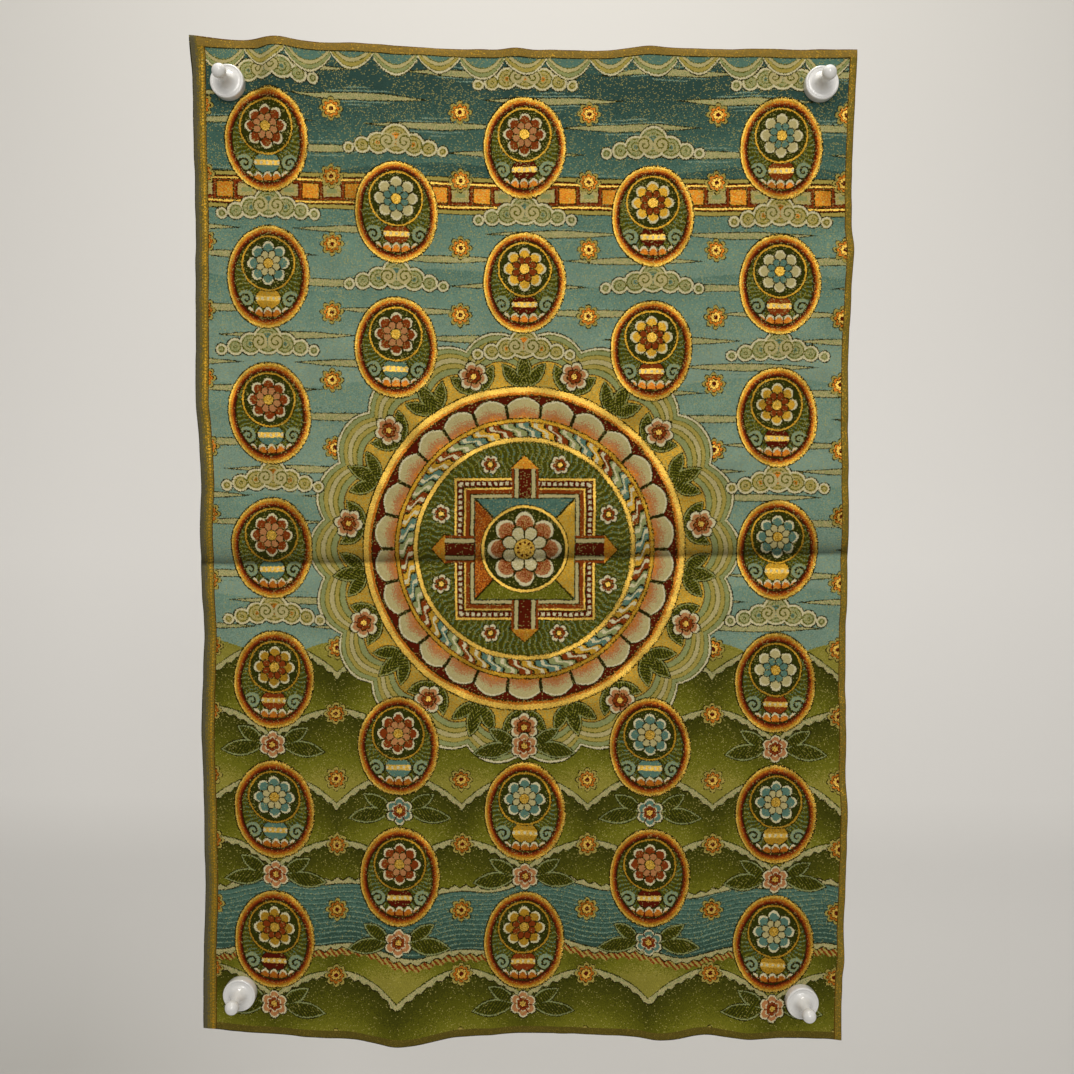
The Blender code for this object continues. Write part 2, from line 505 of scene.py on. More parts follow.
@dataclass(frozen=True)
class Sky:
    """Teal sky that pales downwards in bands, with flat streaks of cloud."""

    pale_below: float = 180.0
    dark_above: float = 322.0
    fade: float = 0.0105
    band: float = 96.0
    row: float = 24.0
    stagger: float = 71.0
    reach: float = 88.0

    def weave(self, loom: Loom) -> None:
        """Shade by chance between neighbouring teals, then lay the streaks over.

        A streak's half thickness is a constant less a share of the square of the distance along.

        Args:
            loom: The cloth being patterned.
        """
        x, y = loom.spot.x, loom.spot.y
        band = ((y + (x * 0.021).sine() * 7.0 + 40.0) / self.band).fraction()
        tone = 4.2 - (y - self.pale_below).most(0.0) * self.fade - (y > self.dark_above) * 0.95
        tone = tone - band + loom.grain * GRAIN_SPREAD
        loom.yarn = tone.floor().most(Yarn.NIGHT_TEAL).least(Yarn.PALE_BLUE)
        row = (y / self.row).round()
        along = (x + row * self.stagger).pingpong(self.reach)
        rise = abs(y - row * self.row)
        lines = (y / 3.1).fraction() < 0.3
        loom.lay(loom.mix(Yarn.SEA_TEAL, Yarn.PALE_BLUE, 0.6), (rise < 9.5 - along * 0.17) * lines)
        lens = 2.9 - along * along * 0.00085
        loom.lay(Yarn.OUTLINE, rise < lens + 0.8)
        loom.lay(loom.mix(Yarn.CREAM, Yarn.PALE_GREEN, 0.45), rise < lens)


@dataclass(frozen=True)
class Hills:
    """Rounded green hills in overlapping rows, each with a pale scalloped ridge."""

    top: float = -86.0
    pitch: float = 61.0
    width: float = 117.0
    rise: float = 27.0

    def weave(self, loom: Loom) -> None:
        """Lay the hills below their top, dark under each ridge and lighter downwards.

        Args:
            loom: The cloth being patterned.
        """
        graph = loom.graph
        spot = loom.spot
        rows = ScaleRows(self.top - self.rise, self.pitch, self.width, self.rise)
        depth = rows.depth(spot)
        half = self.width / 2.0
        crest = (spot.x + half).pingpong(half)
        here = spot.y < self.top - crest * crest * (self.rise / half**2)
        tone = 8.1 + depth * 0.058 + loom.grain * GRAIN_SPREAD
        green = tone.floor().least(Yarn.LIME)
        edge = spot.x.pingpong(4.5) * 0.6 + 4.8
        green = graph.over(green, Yarn.OUTLINE, depth < edge + 1.1)
        green = graph.over(green, loom.mix(Yarn.CREAM, Yarn.PALE_GREEN, 0.35), depth < edge)
        green = graph.over(green, Yarn.BOTTLE, depth < 1.1)
        loom.lay(green, here)


@dataclass(frozen=True)
class River:
    """A river that crosses the land between cream banks, the nearer one hatched with rust."""

    middle: float = -344.0
    half_height: float = 27.0
    bank: float = 6.2

    def weave(self, loom: Loom) -> None:
        """Lay the banks, then the water with its lines of current.

        Each bank wanders with the sum of two sines of the distance across.

        Args:
            loom: The cloth being patterned.
        """
        graph = loom.graph
        x, y = loom.spot.x, loom.spot.y
        swing = (x * 0.027 + 0.8).sine() * 6.0 + (x * 0.071).sine() * 3.0
        up = y - self.middle - swing
        past = abs(up) - self.half_height
        lumps = x.pingpong(5.5) * 0.55
        near = past + lumps
        hatch = ((x + y * 0.9) / 5.2).fraction() < 0.5
        loom.lay(graph.over(Yarn.RUST, Yarn.STRAW, hatch), (near < self.bank + 6.6) * (up < 0.0))
        loom.lay(Yarn.OUTLINE, near < self.bank + 1.2)
        loom.lay(loom.mix(Yarn.CREAM, Yarn.PALE_GREEN, 0.3), near < self.bank)
        loom.lay(Yarn.OUTLINE, past < 1.0)
        current = (up + (x * 0.045).sine() * 1.6) / 4.6
        water = loom.mix(Yarn.WATER, Yarn.DEEP_WATER, 0.5 - up * 0.02)
        lines = current.fraction()
        water = graph.over(water, loom.mix(Yarn.SEA_TEAL, Yarn.FOAM, 0.5), lines < 0.22)
        water = graph.over(water, Yarn.DEEP_WATER, lines > 0.82)
        loom.lay(water, past < 0.0)


@dataclass(frozen=True)
class Terrace:
    """A long low wall of framed panels across the picture."""

    middle: float = 322.0
    half_height: float = 17.0
    pitch: float = 39.0
    courses: Bands = (
        (8.6, Yarn.RUST), (9.4, Yarn.OUTLINE), (11.0, Yarn.BRIGHT_GOLD), (12.2, Yarn.DARK_RED),
        (13.0, Yarn.OUTLINE), (16.2, Yarn.STRAW), (17.0, Yarn.OUTLINE),
    )

    def weave(self, loom: Loom) -> None:
        """Lay the wall, with gold squares and pale slabs in turn.

        Args:
            loom: The cloth being patterned.
        """
        graph = loom.graph
        half = self.pitch / 2.0
        up = abs(loom.spot.y - self.middle)
        across = loom.spot.x.pingpong(half)
        wall = graph.bands(up, self.courses)
        square = (across - 7.2).most(up - 6.6)
        wall = graph.over(wall, Yarn.OUTLINE, square < 1.0)
        wall = graph.over(wall, loom.mix(Yarn.ORANGE, Yarn.GOLD, 0.35), square < 0.0)
        slab = (half - across - 8.0).most(up - 5.4)
        wall = graph.over(wall, Yarn.DARK_RED, slab < 1.4)
        wall = graph.over(wall, loom.mix(Yarn.STRAW, Yarn.CREAM, 0.5), slab < 0.0)
        wall = graph.over(wall, Yarn.PALE_GREEN, slab < -3.4)
        loom.lay(wall, up < self.half_height)


@dataclass(frozen=True)
class CloudFringe:
    """A row of hanging cloud lobes under the top border, pale green and straw in turn."""

    top: float = 446.6
    drop: float = 19.0
    pitch: float = 39.0
    contours: Bands = (
        (1.6, Yarn.IVORY), (2.4, Yarn.OLIVE), (5.6, Yarn.PALE_GREEN), (6.4, Yarn.OLIVE),
        (9.4, Yarn.CREAM), (10.2, Yarn.OLIVE), (40.0, Yarn.SEA_TEAL),
    )

    def weave(self, loom: Loom) -> None:
        """Lay the lobes, whose hem rises with the square of the share of their half width.

        Args:
            loom: The cloth being patterned.
        """
        graph = loom.graph
        half = self.pitch / 2.0
        down = self.top - loom.spot.y
        across = loom.spot.x.pingpong(half)
        turn = (loom.spot.x / (self.pitch * 2.0) + 0.25).fraction() < 0.5
        rim = self.drop - across * across * (14.0 / half**2) - down - turn * 4.0
        lobe = graph.bands(rim, self.contours)
        lobe = graph.over(lobe, Yarn.STRAW, turn * rim.near(4.0, 1.6))
        loom.lay(Yarn.OUTLINE, (rim > -1.0) * (down > 0.0))
        loom.lay(lobe, (rim > 0.0) * (down > 0.0))


@dataclass(frozen=True)
class CloudScroll:
    """A cloud head of lobes that shrink outwards, with two curls."""

    foot: float = -9.5
    lobes: tuple[tuple[float, float, float], ...] = (
        (0.0, 5.5, 13.5),
        (16.0, 1.0, 10.0),
        (30.0, -2.0, 7.5),
        (42.5, -4.5, 5.0),
    )

    def weave(self, loom: Loom, spot: Spot, lot: Wire, here: Wire) -> None:
        """Lay a cloud, outlined by the least of its lobes' signed distances.

        The contour lines inside follow the smooth least of the same.

        Args:
            loom: The cloth being patterned.
            spot: The place from the motif's centre.
            lot: The motif's random number, which picks its colours.
            here: 1 in the cells that have the motif.
        """
        graph = loom.graph
        side = spot.mirrored()
        place = graph.point(side.x, side.y)
        outline: Wire | None = None
        smooth: Wire | None = None
        for x, y, radius in self.lobes:
            reach = graph.vector("DISTANCE", place, (x, y, 0.0)) - radius
            outline = reach if outline is None else outline.least(reach)
            smooth = reach if smooth is None else graph.math("SMOOTH_MIN", smooth, reach, 9.0)
        under = self.foot - side.y
        outline = outline.most(under)
        smooth = smooth.most(under)
        lines = (smooth / 3.3).fraction()
        gilt = lot < 0.36
        puff = graph.over(Yarn.PALE_GREEN, Yarn.STRAW, gilt)
        puff = loom.mix(puff, Yarn.CREAM, 0.32)
        curl = side.moved(7.6, 3.2)
        spiral = (curl.away / 4.4 - curl.angle / TURN).fraction() < 0.3
        puff = graph.over(puff, graph.over(Yarn.SEA_TEAL, Yarn.ORANGE, gilt), smooth < -8.2)
        puff = graph.over(puff, Yarn.OLIVE, lines < 0.24)
        puff = graph.over(puff, Yarn.CREAM, curl.away < 7.4)
        puff = graph.over(puff, Yarn.OLIVE, spiral * (curl.away < 7.4))
        puff = graph.over(puff, Yarn.IVORY, outline > -1.7)
        puff = graph.over(puff, Yarn.OUTLINE, outline > 0.0)
        loom.lay(puff, (outline < 1.0) * here)


@dataclass(frozen=True)
class LeafSpray:
    """A peony between pairs of dark leaves."""

    peony: Bands = (
        (0.20, Yarn.BRIGHT_GOLD), (0.27, Yarn.DARK_RED), (0.46, Yarn.RUST), (0.53, Yarn.IVORY),
        (0.80, Yarn.BLUSH), (0.91, Yarn.IVORY), (1.0, Yarn.OUTLINE),
    )

    def weave(self, loom: Loom, spot: Spot, lot: Wire, here: Wire) -> None:
        """Lay the leaves, then the peony.

        Args:
            loom: The cloth being patterned.
            spot: The place from the motif's centre.
            lot: The motif's random number, which picks its colours.
            here: 1 in the cells that have the motif.
        """
        graph = loom.graph
        side = spot.mirrored()
        low = side.leaf((28.0, -3.0), -8.0, (20.0, 7.4))
        depth = low.most(side.leaf((20.0, 9.0), 32.0, (15.0, 6.0)))
        veins = ((side.x + side.y * 0.7) / 3.0).fraction()
        leaf = graph.over(Yarn.BOTTLE, Yarn.OLIVE, (veins < 0.34) * (loom.grain > 0.2))
        leaf = graph.over(leaf, Yarn.PALE_GREEN, depth < 1.1)
        loom.lay(Yarn.OUTLINE, (depth > -0.9) * here)
        loom.lay(leaf, (depth > 0.0) * here)
        share, turn = spot.bloom(6, 14.0, 3.8)
        bloom = graph.bands(share, self.peony)
        bloom = graph.over(bloom, Yarn.DARK_RED, (turn > 0.88) * (share < 0.86))
        petals = share.near(0.665, 0.13) * (turn < 0.88)
        bloom = graph.over(bloom, Yarn.SEA_TEAL, (lot > 0.6) * petals)
        loom.lay(bloom, (share < 1.0) * here)


@dataclass(frozen=True)
class SmallDisc:
    """Little gold discs with eight flames, midway between the larger motifs."""

    pitch_x: float = 117.0
    pitch_y: float = 61.0
    rings: Bands = (
        (0.20, Yarn.DARK_RED), (0.40, Yarn.BRIGHT_GOLD), (0.48, Yarn.OUTLINE), (0.66, Yarn.ORANGE),
        (0.74, Yarn.OUTLINE), (0.92, Yarn.STRAW), (1.0, Yarn.OUTLINE),
    )

    def weave(self, loom: Loom) -> None:
        """Lay the discs, in coordinates that are mirrored about each disc.

        Args:
            loom: The cloth being patterned.
        """
        graph = loom.graph
        east = self.pitch_x / 2.0 - loom.spot.x.pingpong(self.pitch_x / 2.0)
        north = self.pitch_y / 2.0 - loom.spot.y.pingpong(self.pitch_y / 2.0)
        share, _ = Spot(graph, east, north).bloom(8, 11.5, 3.6)
        loom.lay(graph.bands(share, self.rings), share < 1.0)


@dataclass(frozen=True)
class Medallion:
    """An oval ring of gold and rust round a vase of lotus on a rayed green field."""

    half_width: float = 36.0
    half_height: float = 44.0
    field_edge: float = 0.83
    belt_drop: float = 19.5
    rings: Bands = (
        (0.835, Yarn.DARK_OLIVE), (0.865, Yarn.OUTLINE), (0.895, Yarn.DARK_RED), (0.930, Yarn.RUST),
        (0.965, Yarn.ORANGE), (0.995, Yarn.GOLD), (1.030, Yarn.BRIGHT_GOLD), (1.060, Yarn.OUTLINE),
    )
    halo: Bands = (
        (22.4, Yarn.BOTTLE), (23.1, Yarn.OUTLINE), (24.6, Yarn.GOLD), (25.3, Yarn.OUTLINE),
    )
    petals_by_lot: Bands = (
        (0.27, Yarn.SEA_TEAL), (0.50, Yarn.RUST), (0.72, Yarn.GOLD), (1.0, Yarn.CREAM),
    )
    hearts_by_lot: Bands = (
        (0.27, Yarn.CREAM), (0.50, Yarn.BLUSH), (0.72, Yarn.RUST), (1.0, Yarn.SEA_TEAL),
    )
    vases_by_lot: Bands = (
        (0.18, Yarn.GOLD), (0.40, Yarn.SEA_TEAL), (0.62, Yarn.DARK_RED), (1.0, Yarn.RUST),
    )

    def weave(self, loom: Loom, spot: Spot, lot: Wire, here: Wire) -> None:
        """Lay a medallion from its rings inwards.

        Args:
            loom: The cloth being patterned.
            spot: The place from the motif's centre.
            lot: The motif's random number, which picks its colours.
            here: 1 in the cells that have the motif.
        """
        graph = loom.graph
        wide = spot.x / self.half_width
        tall = spot.y / self.half_height
        oval = graph.math("SQRT", wide * wide + tall * tall)
        face = graph.bands(oval + (loom.grain - 0.5) * 0.035, self.rings)
        within = oval < self.field_edge
        rays = (spot.angle * (40.0 / TURN) + (spot.away * 0.42).sine() * 0.16).fraction()
        face = graph.over(face, loom.mix(Yarn.MOSS, Yarn.SEA_TEAL, 0.3), within * (rays < 0.36))
        face = self.scrolls(loom, face, spot.mirrored(), within)
        face = self.vase(loom, face, spot, lot)
        face = self.lotus(loom, face, spot.moved(0.0, 12.0), lot)
        face = self.seat(loom, face, spot, within)
        loom.lay(face, (oval < self.rings[-1][0]) * here)

    def scrolls(self, loom: Loom, face: Wire, side: Spot, within: Wire) -> Wire:
        """A curled ribbon on each side of the vase.

        Args:
            loom: The cloth being patterned.
            face: The yarn below.
            side: The place from the medallion's centre, mirrored.
            within: 1 on its field.

        Returns:
            The yarn with the ribbons over it.
        """
        graph = loom.graph
        curl = side.moved(20.5, -20.5)
        spiral = (curl.away / 5.0 - curl.angle / TURN).fraction()
        ribbon = graph.over(Yarn.OUTLINE, loom.mix(Yarn.PALE_GREEN, Yarn.FOAM, 0.5), spiral < 0.62)
        return graph.over(face, ribbon, (curl.away < 8.0) * within)

    def vase(self, loom: Loom, face: Wire, spot: Spot, lot: Wire) -> Wire:
        """A round vase with a jewelled belt.

        Args:
            loom: The cloth being patterned.
            face: The yarn below.
            spot: The place from the medallion's centre.
            lot: The medallion's random number.

        Returns:
            The yarn with the vase over it.
        """
        graph = loom.graph
        wide = spot.x / 12.0
        tall = (spot.y + self.belt_drop) / 9.5
        body = graph.math("SQRT", wide * wide + tall * tall)
        from_belt = abs(spot.y + self.belt_drop)
        face = graph.over(face, Yarn.OUTLINE, body < 1.06)
        glaze = graph.bands(lot, self.vases_by_lot)
        glaze = graph.over(glaze, Yarn.BRIGHT_GOLD, from_belt < 2.3)
        glaze = graph.over(glaze, Yarn.IVORY, (spot.x.pingpong(2.6) < 1.1) * (from_belt < 1.2))
        return graph.over(face, glaze, body < 0.96)

    def lotus(self, loom: Loom, face: Wire, spot: Spot, lot: Wire) -> Wire:
        """A two-layered lotus in front of a dark green disc with a gold rim.

        Args:
            loom: The cloth being patterned.
            face: The yarn below.
            spot: The place from the lotus's middle.
            lot: The medallion's random number.

        Returns:
            The yarn with the lotus over it.
        """
        graph = loom.graph
        face = graph.over(face, graph.bands(spot.away, self.halo), spot.away < self.halo[-1][0])
        share, turn = spot.bloom(8, 20.5, 5.4)
        lotus = graph.bands(lot, self.petals_by_lot)
        lotus = graph.over(lotus, Yarn.IVORY, share > 0.85)
        lotus = graph.over(lotus, Yarn.OUTLINE, (turn > 0.86).most(share > 0.95))
        inner, turn = spot.bloom(8, 12.5, 3.2, 0.5)
        lotus = graph.over(lotus, Yarn.OUTLINE, inner < 1.0)
        heart = graph.bands(lot, self.hearts_by_lot)
        lotus = graph.over(lotus, heart, (inner < 0.91) * (turn < 0.82))
        lotus = graph.over(lotus, Yarn.OUTLINE, spot.away < 5.2)
        lotus = graph.over(lotus, loom.mix(Yarn.GOLD, Yarn.BRIGHT_GOLD, 0.5), spot.away < 4.4)
        return graph.over(face, lotus, share < 1.0)

    def seat(self, loom: Loom, face: Wire, spot: Spot, within: Wire) -> Wire:
        """A row of lotus petals across the foot of the field.

        Args:
            loom: The cloth being patterned.
            face: The yarn below.
            spot: The place from the medallion's centre.
            within: 1 on its field.

        Returns:
            The yarn with the petals over it.
        """
        graph = loom.graph
        foot = spot.y + 35.0
        scallop = (spot.x / 8.5).pingpong(0.5) * 2.0
        bowl = 8.4 - scallop * scallop * 4.6
        pad = graph.over(Yarn.ORANGE, Yarn.IVORY, foot > bowl - 3.0)
        pad = graph.over(pad, Yarn.DARK_RED, (foot < -0.5).most(scallop > 0.84))
        pad = graph.over(pad, Yarn.OUTLINE, foot > bowl - 0.8)
        return graph.over(face, pad, (foot < bowl) * within)


@dataclass(frozen=True)
class Lattice:
    """Half-drop lattice that sets out the medallions, clouds and sprays."""

    pitch_x: float = 117.0
    pitch_y: float = 122.0
    clear_radius: float = 180.0
    last_centre: float = 390.0
    land_from: float = -95.0
    medallion: Medallion = Medallion()
    cloud: CloudScroll = CloudScroll()
    spray: LeafSpray = LeafSpray()

    def weave(self, loom: Loom) -> None:
        """Lay the clouds and sprays in the gaps of the lattice, then its medallions.

        Args:
            loom: The cloth being patterned.
        """
        spot, centre, lot = self.cell(loom, 0.5)
        shown = centre.away > self.clear_radius
        land = centre.y < self.land_from
        self.cloud.weave(loom, spot, lot, shown * (1.0 - land))
        self.spray.weave(loom, spot, lot, shown * land)
        spot, centre, lot = self.cell(loom, 0.0)
        shown = (centre.away > self.clear_radius) * (abs(centre.y) < self.last_centre)
        self.medallion.weave(loom, spot, lot, shown)

    def cell(self, loom: Loom, share: float) -> tuple[Spot, Spot, Wire]:
        """Find the cell that a pick lies in.

        Args:
            loom: The cloth.
            share: How far the cells' middles lie above the medallions', as a share of the pitch.

        Returns:
            The place from the cell's middle, the middle itself, and the cell's random number.
        """
        graph = loom.graph
        column = (loom.spot.x / self.pitch_x).round()
        east = loom.spot.x - column * self.pitch_x
        foot = column.pingpong(1.0) * (self.pitch_y / 2.0) + share * self.pitch_y
        high = loom.spot.y - foot
        row = (high / self.pitch_y).round()
        spot = Spot(graph, east, high - row * self.pitch_y)
        centre = Spot(graph, column * self.pitch_x, row * self.pitch_y + foot)
        return spot, centre, graph.chance(graph.point(column, row + share))


@dataclass(frozen=True)
class RingBlooms:
    """Six-petalled blooms spaced evenly round a ring."""

    count: int
    radius: float
    size: float
    steps: Bands
    shift: float = 0.0

    def weave(self, loom: Loom, face: Wire | Yarn) -> Wire:
        """Lay the blooms over a yarn.

        Args:
            loom: The cloth.
            face: The yarn below.

        Returns:
            The yarn with the blooms over it.
        """
        graph = loom.graph
        step = TURN / self.count
        angle = loom.spot.angle + self.shift * step
        bent = angle - (angle / step).round() * step
        away = loom.spot.away
        spot = Spot(graph, bent.sine() * away, bent.cosine() * away - self.radius)
        share, turn = spot.bloom(6, self.size, self.size * 0.26)
        bloom = graph.bands(share, self.steps)
        bloom = graph.over(bloom, Yarn.OUTLINE, (turn > 0.86) * (share > 0.3))
        return graph.over(face, bloom, share < 1.0)


@dataclass(frozen=True)
class Wreath:
    """A collar of cloud round the wheel, with fans of dark leaves, every other one with a peony."""

    collar: float = 189.0
    lobe_rise: float = 11.0
    contours: Bands = (
        (1.8, Yarn.IVORY), (2.6, Yarn.OLIVE), (6.4, Yarn.PALE_GREEN), (7.2, Yarn.OLIVE),
        (10.6, Yarn.STRAW), (11.4, Yarn.OLIVE), (15.4, Yarn.CREAM), (16.2, Yarn.OLIVE),
        (20.0, Yarn.STRAW), (21.0, Yarn.OLIVE), (26.0, Yarn.PALE_GREEN), (27.0, Yarn.BROWN),
        (60.0, Yarn.GOLD),
    )
    clusters: int = 22
    inner: float = 148.0
    bloom_out: float = 17.0
    peony: Bands = (
        (0.18, Yarn.BRIGHT_GOLD), (0.25, Yarn.DARK_RED), (0.44, Yarn.RUST), (0.51, Yarn.OUTLINE),
        (0.74, Yarn.BLUSH), (0.91, Yarn.IVORY), (1.0, Yarn.OUTLINE),
    )

    def weave(self, loom: Loom) -> None:
        """Lay the collar, the leaves, then the peonies.

        The collar's rim rises by a share of one minus the square of the petal share.

        Args:
            loom: The cloth being patterned.
        """
        graph = loom.graph
        lobe = loom.spot.petal(self.clusters, 0.5)
        rim = self.collar + self.lobe_rise - lobe * lobe * self.lobe_rise - loom.spot.away
        loom.lay(Yarn.OUTLINE, rim > -1.1)
        loom.lay(graph.bands(rim, self.contours), rim > 0.0)
        loom.lay(loom.mix(Yarn.GOLD, Yarn.STRAW, 0.4), rim > self.contours[-2][0])
        step = TURN / self.clusters
        index = (loom.spot.angle / step).round()
        bent = loom.spot.angle - index * step
        out = bent.cosine() * loom.spot.away - self.inner
        side = Spot(graph, abs(bent.sine() * loom.spot.away), out)
        upright = side.leaf((0.0, 15.0), 90.0, (17.0, 6.6))
        depth = upright.most(side.leaf((11.0, 11.0), 50.0, (14.0, 5.8)))
        veins = ((side.x + side.y * 0.6) / 2.9).fraction()
        leaf = graph.over(Yarn.BOTTLE, Yarn.MOSS, (veins < 0.32) * (loom.grain > 0.3))
        leaf = graph.over(leaf, loom.mix(Yarn.PALE_GREEN, Yarn.LIME, 0.4), depth < 1.1)
        loom.lay(Yarn.OUTLINE, depth > -1.0)
        loom.lay(leaf, depth > 0.0)
        share, turn = side.moved(0.0, self.bloom_out).bloom(6, 14.5, 3.8)
        bloom = graph.bands(share, self.peony)
        bloom = graph.over(bloom, Yarn.DARK_RED, (turn > 0.88) * (share < 0.9))
        loom.lay(bloom, (share < 1.0) * index.pingpong(1.0))


@dataclass(frozen=True)
class LotusWheel:
    """The wheel in the middle: a four-gated court round a lotus, in rings of flame and petals."""

    radius: float = 150.0
    rings: Bands = (
        (98.0, Yarn.DARK_OLIVE), (99.0, Yarn.OUTLINE), (102.5, Yarn.BRIGHT_GOLD),
        (103.5, Yarn.OUTLINE), (115.5, Yarn.RUST), (116.5, Yarn.OUTLINE), (119.5, Yarn.GOLD),
        (120.5, Yarn.OUTLINE), (140.5, Yarn.DARK_RED), (141.5, Yarn.OUTLINE), (144.0, Yarn.ORANGE),
        (148.8, Yarn.BRIGHT_GOLD), (150.0, Yarn.OUTLINE),
    )
    walls: Bands = (
        (46.0, Yarn.TEAL), (47.0, Yarn.OUTLINE), (50.0, Yarn.CREAM), (51.0, Yarn.OUTLINE),
        (54.5, Yarn.RUST), (56.0, Yarn.BRIGHT_GOLD), (57.0, Yarn.OUTLINE), (63.0, Yarn.DARK_RED),
        (65.0, Yarn.BRIGHT_GOLD), (66.0, Yarn.OUTLINE),
    )
    passage: Bands = (
        (5.4, Yarn.DARK_RED), (6.2, Yarn.OUTLINE), (9.6, Yarn.CREAM), (10.4, Yarn.OUTLINE),
        (12.6, Yarn.RUST),
    )
    flame_tones: Bands = (
        (0.25, Yarn.SEA_TEAL), (0.5, Yarn.GOLD), (0.75, Yarn.RUST), (1.0, Yarn.PALE_GREEN),
    )
    heart: Bands = (
        (36.5, Yarn.BOTTLE), (37.5, Yarn.OUTLINE), (40.0, Yarn.BRIGHT_GOLD), (41.0, Yarn.OUTLINE),
    )
    corner_bloom: Bands = (
        (0.26, Yarn.BRIGHT_GOLD), (0.36, Yarn.OUTLINE), (0.66, Yarn.RUST), (0.90, Yarn.IVORY),
        (1.0, Yarn.OUTLINE),
    )

    def weave(self, loom: Loom) -> None:
        """Lay the wheel, from its rings inwards.

        Args:
            loom: The cloth being patterned.
        """
        graph = loom.graph
        spot = loom.spot
        face = graph.bands(spot.away + (loom.grain - 0.5) * 1.4, self.rings)
        rays = (spot.angle * (96.0 / TURN) + (spot.away * 0.4).sine() * 0.2).fraction()
        ground = (spot.away < 97.5) * (rays < 0.32)
        face = graph.over(face, loom.mix(Yarn.MOSS, Yarn.SEA_TEAL, 0.3), ground)
        face = RingBlooms(8, 84.0, 9.5, self.corner_bloom, 0.5).weave(loom, face)
        face = self.flames(loom, face)
        face = self.petals(loom, face)
        face = self.court(loom, face)
        face = self.lotus(loom, face)
        loom.lay(face, spot.away < self.radius)

    def flames(self, loom: Loom, face: Wire) -> Wire:
        """A ring of swept flames in four colours.

        Args:
            loom: The cloth being patterned.
            face: The yarn below.

        Returns:
            The yarn with the flames over it.
        """
        graph = loom.graph
        spot = loom.spot
        sweep = spot.angle * (52.0 / TURN) + spot.away * 0.11 + (spot.away * 0.8).sine() * 0.16
        place = sweep.fraction()
        flame = graph.bands((sweep * 0.25).fraction(), self.flame_tones)
        flame = graph.over(flame, Yarn.IVORY, place.near(0.3, 0.13))
        flame = graph.over(flame, Yarn.OUTLINE, place > 0.84)
        return graph.over(face, flame, spot.away.near(109.5, 6.0))

    def petals(self, loom: Loom, face: Wire) -> Wire:
        """A ring of lotus petals that point outwards, cream with a rust blush at the foot.

        Args:
            loom: The cloth being patterned.
            face: The yarn below.

        Returns:
            The yarn with the petals over it.
        """
        graph = loom.graph
        away = loom.spot.away
        turn = loom.spot.petal(26)
        tip = 140.0 - turn * turn * 7.5
        blush = (away - 121.0) * 0.05 + turn * 0.22 + loom.grain * 0.35
        petal = graph.over(Yarn.ORANGE, Yarn.BLUSH, blush > 0.30)
        petal = graph.over(petal, Yarn.CREAM, blush > 0.62)
        petal = graph.over(petal, Yarn.IVORY, away > tip - 2.6)
        petal = graph.over(petal, Yarn.OUTLINE, (turn > 0.9).most(away > tip - 0.9))
        return graph.over(face, petal, away.near(130.5, 10.0) * (away < tip))

    def court(self, loom: Loom, face: Wire) -> Wire:
        """A square court with banded walls, four coloured quarters and a gate in each side.

        Args:
            loom: The cloth being patterned.
            face: The yarn below.

        Returns:
            The yarn with the court over it.
        """
        graph = loom.graph
        spot = loom.spot
        east = abs(spot.x)
        north = abs(spot.y)
        out = east.most(north)
        along = east.least(north)
        roof = (along - (86.0 - out) * 1.1).most(74.0 - out)
        face = graph.over(face, Yarn.OUTLINE, (roof < 1.4).most((along < 13.4) * (out < 75.0)))
        face = graph.over(face, loom.mix(Yarn.ORANGE, Yarn.GOLD, 0.5), roof < 0.0)
        walls = graph.bands(out, self.walls)
        beads = (along / 5.2).fraction() < 0.55
        walls = graph.over(walls, Yarn.IVORY, beads * out.near(60.0, 1.5))
        face = graph.over(face, walls, out < self.walls[-1][0])
        right = spot.x > spot.y
        teal, gold = loom.mix(Yarn.TEAL, Yarn.SEA_TEAL, 0.5), loom.mix(Yarn.GOLD, Yarn.STRAW, 0.3)
        rust, green = loom.mix(Yarn.RUST, Yarn.ORANGE, 0.3), loom.mix(Yarn.OLIVE, Yarn.MOSS, 0.5)
        top = graph.over(teal, gold, right)
        foot = graph.over(rust, green, right)
        quarter = graph.over(top, foot, (0.0 - spot.x) > spot.y)
        quarter = graph.over(quarter, Yarn.OUTLINE, (out - along) < 1.2)
        face = graph.over(face, quarter, out < self.walls[0][0])
        passage = graph.bands(along, self.passage)
        return graph.over(face, passage, (along < self.passage[-1][0]) * out.near(60.5, 13.5))

    def lotus(self, loom: Loom, face: Wire) -> Wire:
        """The two-layered lotus at the heart of the court.

        Args:
            loom: The cloth being patterned.
            face: The yarn below.

        Returns:
            The yarn with the lotus over it.
        """
        graph = loom.graph
        spot = loom.spot
        face = graph.over(face, graph.bands(spot.away, self.heart), spot.away < self.heart[-1][0])
        share, turn = spot.bloom(8, 35.5, 9.5)
        outer = graph.over(Yarn.RUST, Yarn.BLUSH, share * 0.9 + loom.grain * 0.5 > 0.92)
        outer = graph.over(outer, Yarn.IVORY, share > 0.88)
        outer = graph.over(outer, Yarn.OUTLINE, (turn > 0.89).most(share > 0.965))
        face = graph.over(face, outer, share < 1.0)
        share, turn = spot.bloom(8, 22.5, 5.8, 0.5)
        face = graph.over(face, Yarn.OUTLINE, share < 1.0)
        inner = loom.mix(Yarn.IVORY, Yarn.CREAM, 0.5)
        face = graph.over(face, inner, (share < 0.93) * (turn < 0.85))
        face = graph.over(face, Yarn.OUTLINE, spot.away < 10.2)
        face = graph.over(face, loom.mix(Yarn.GOLD, Yarn.BRIGHT_GOLD, 0.6), spot.away < 9.2)
        seeds = spot.petal(9) < 0.5
        return graph.over(face, Yarn.DARK_RED, spot.away.near(6.2, 1.2) * seeds)


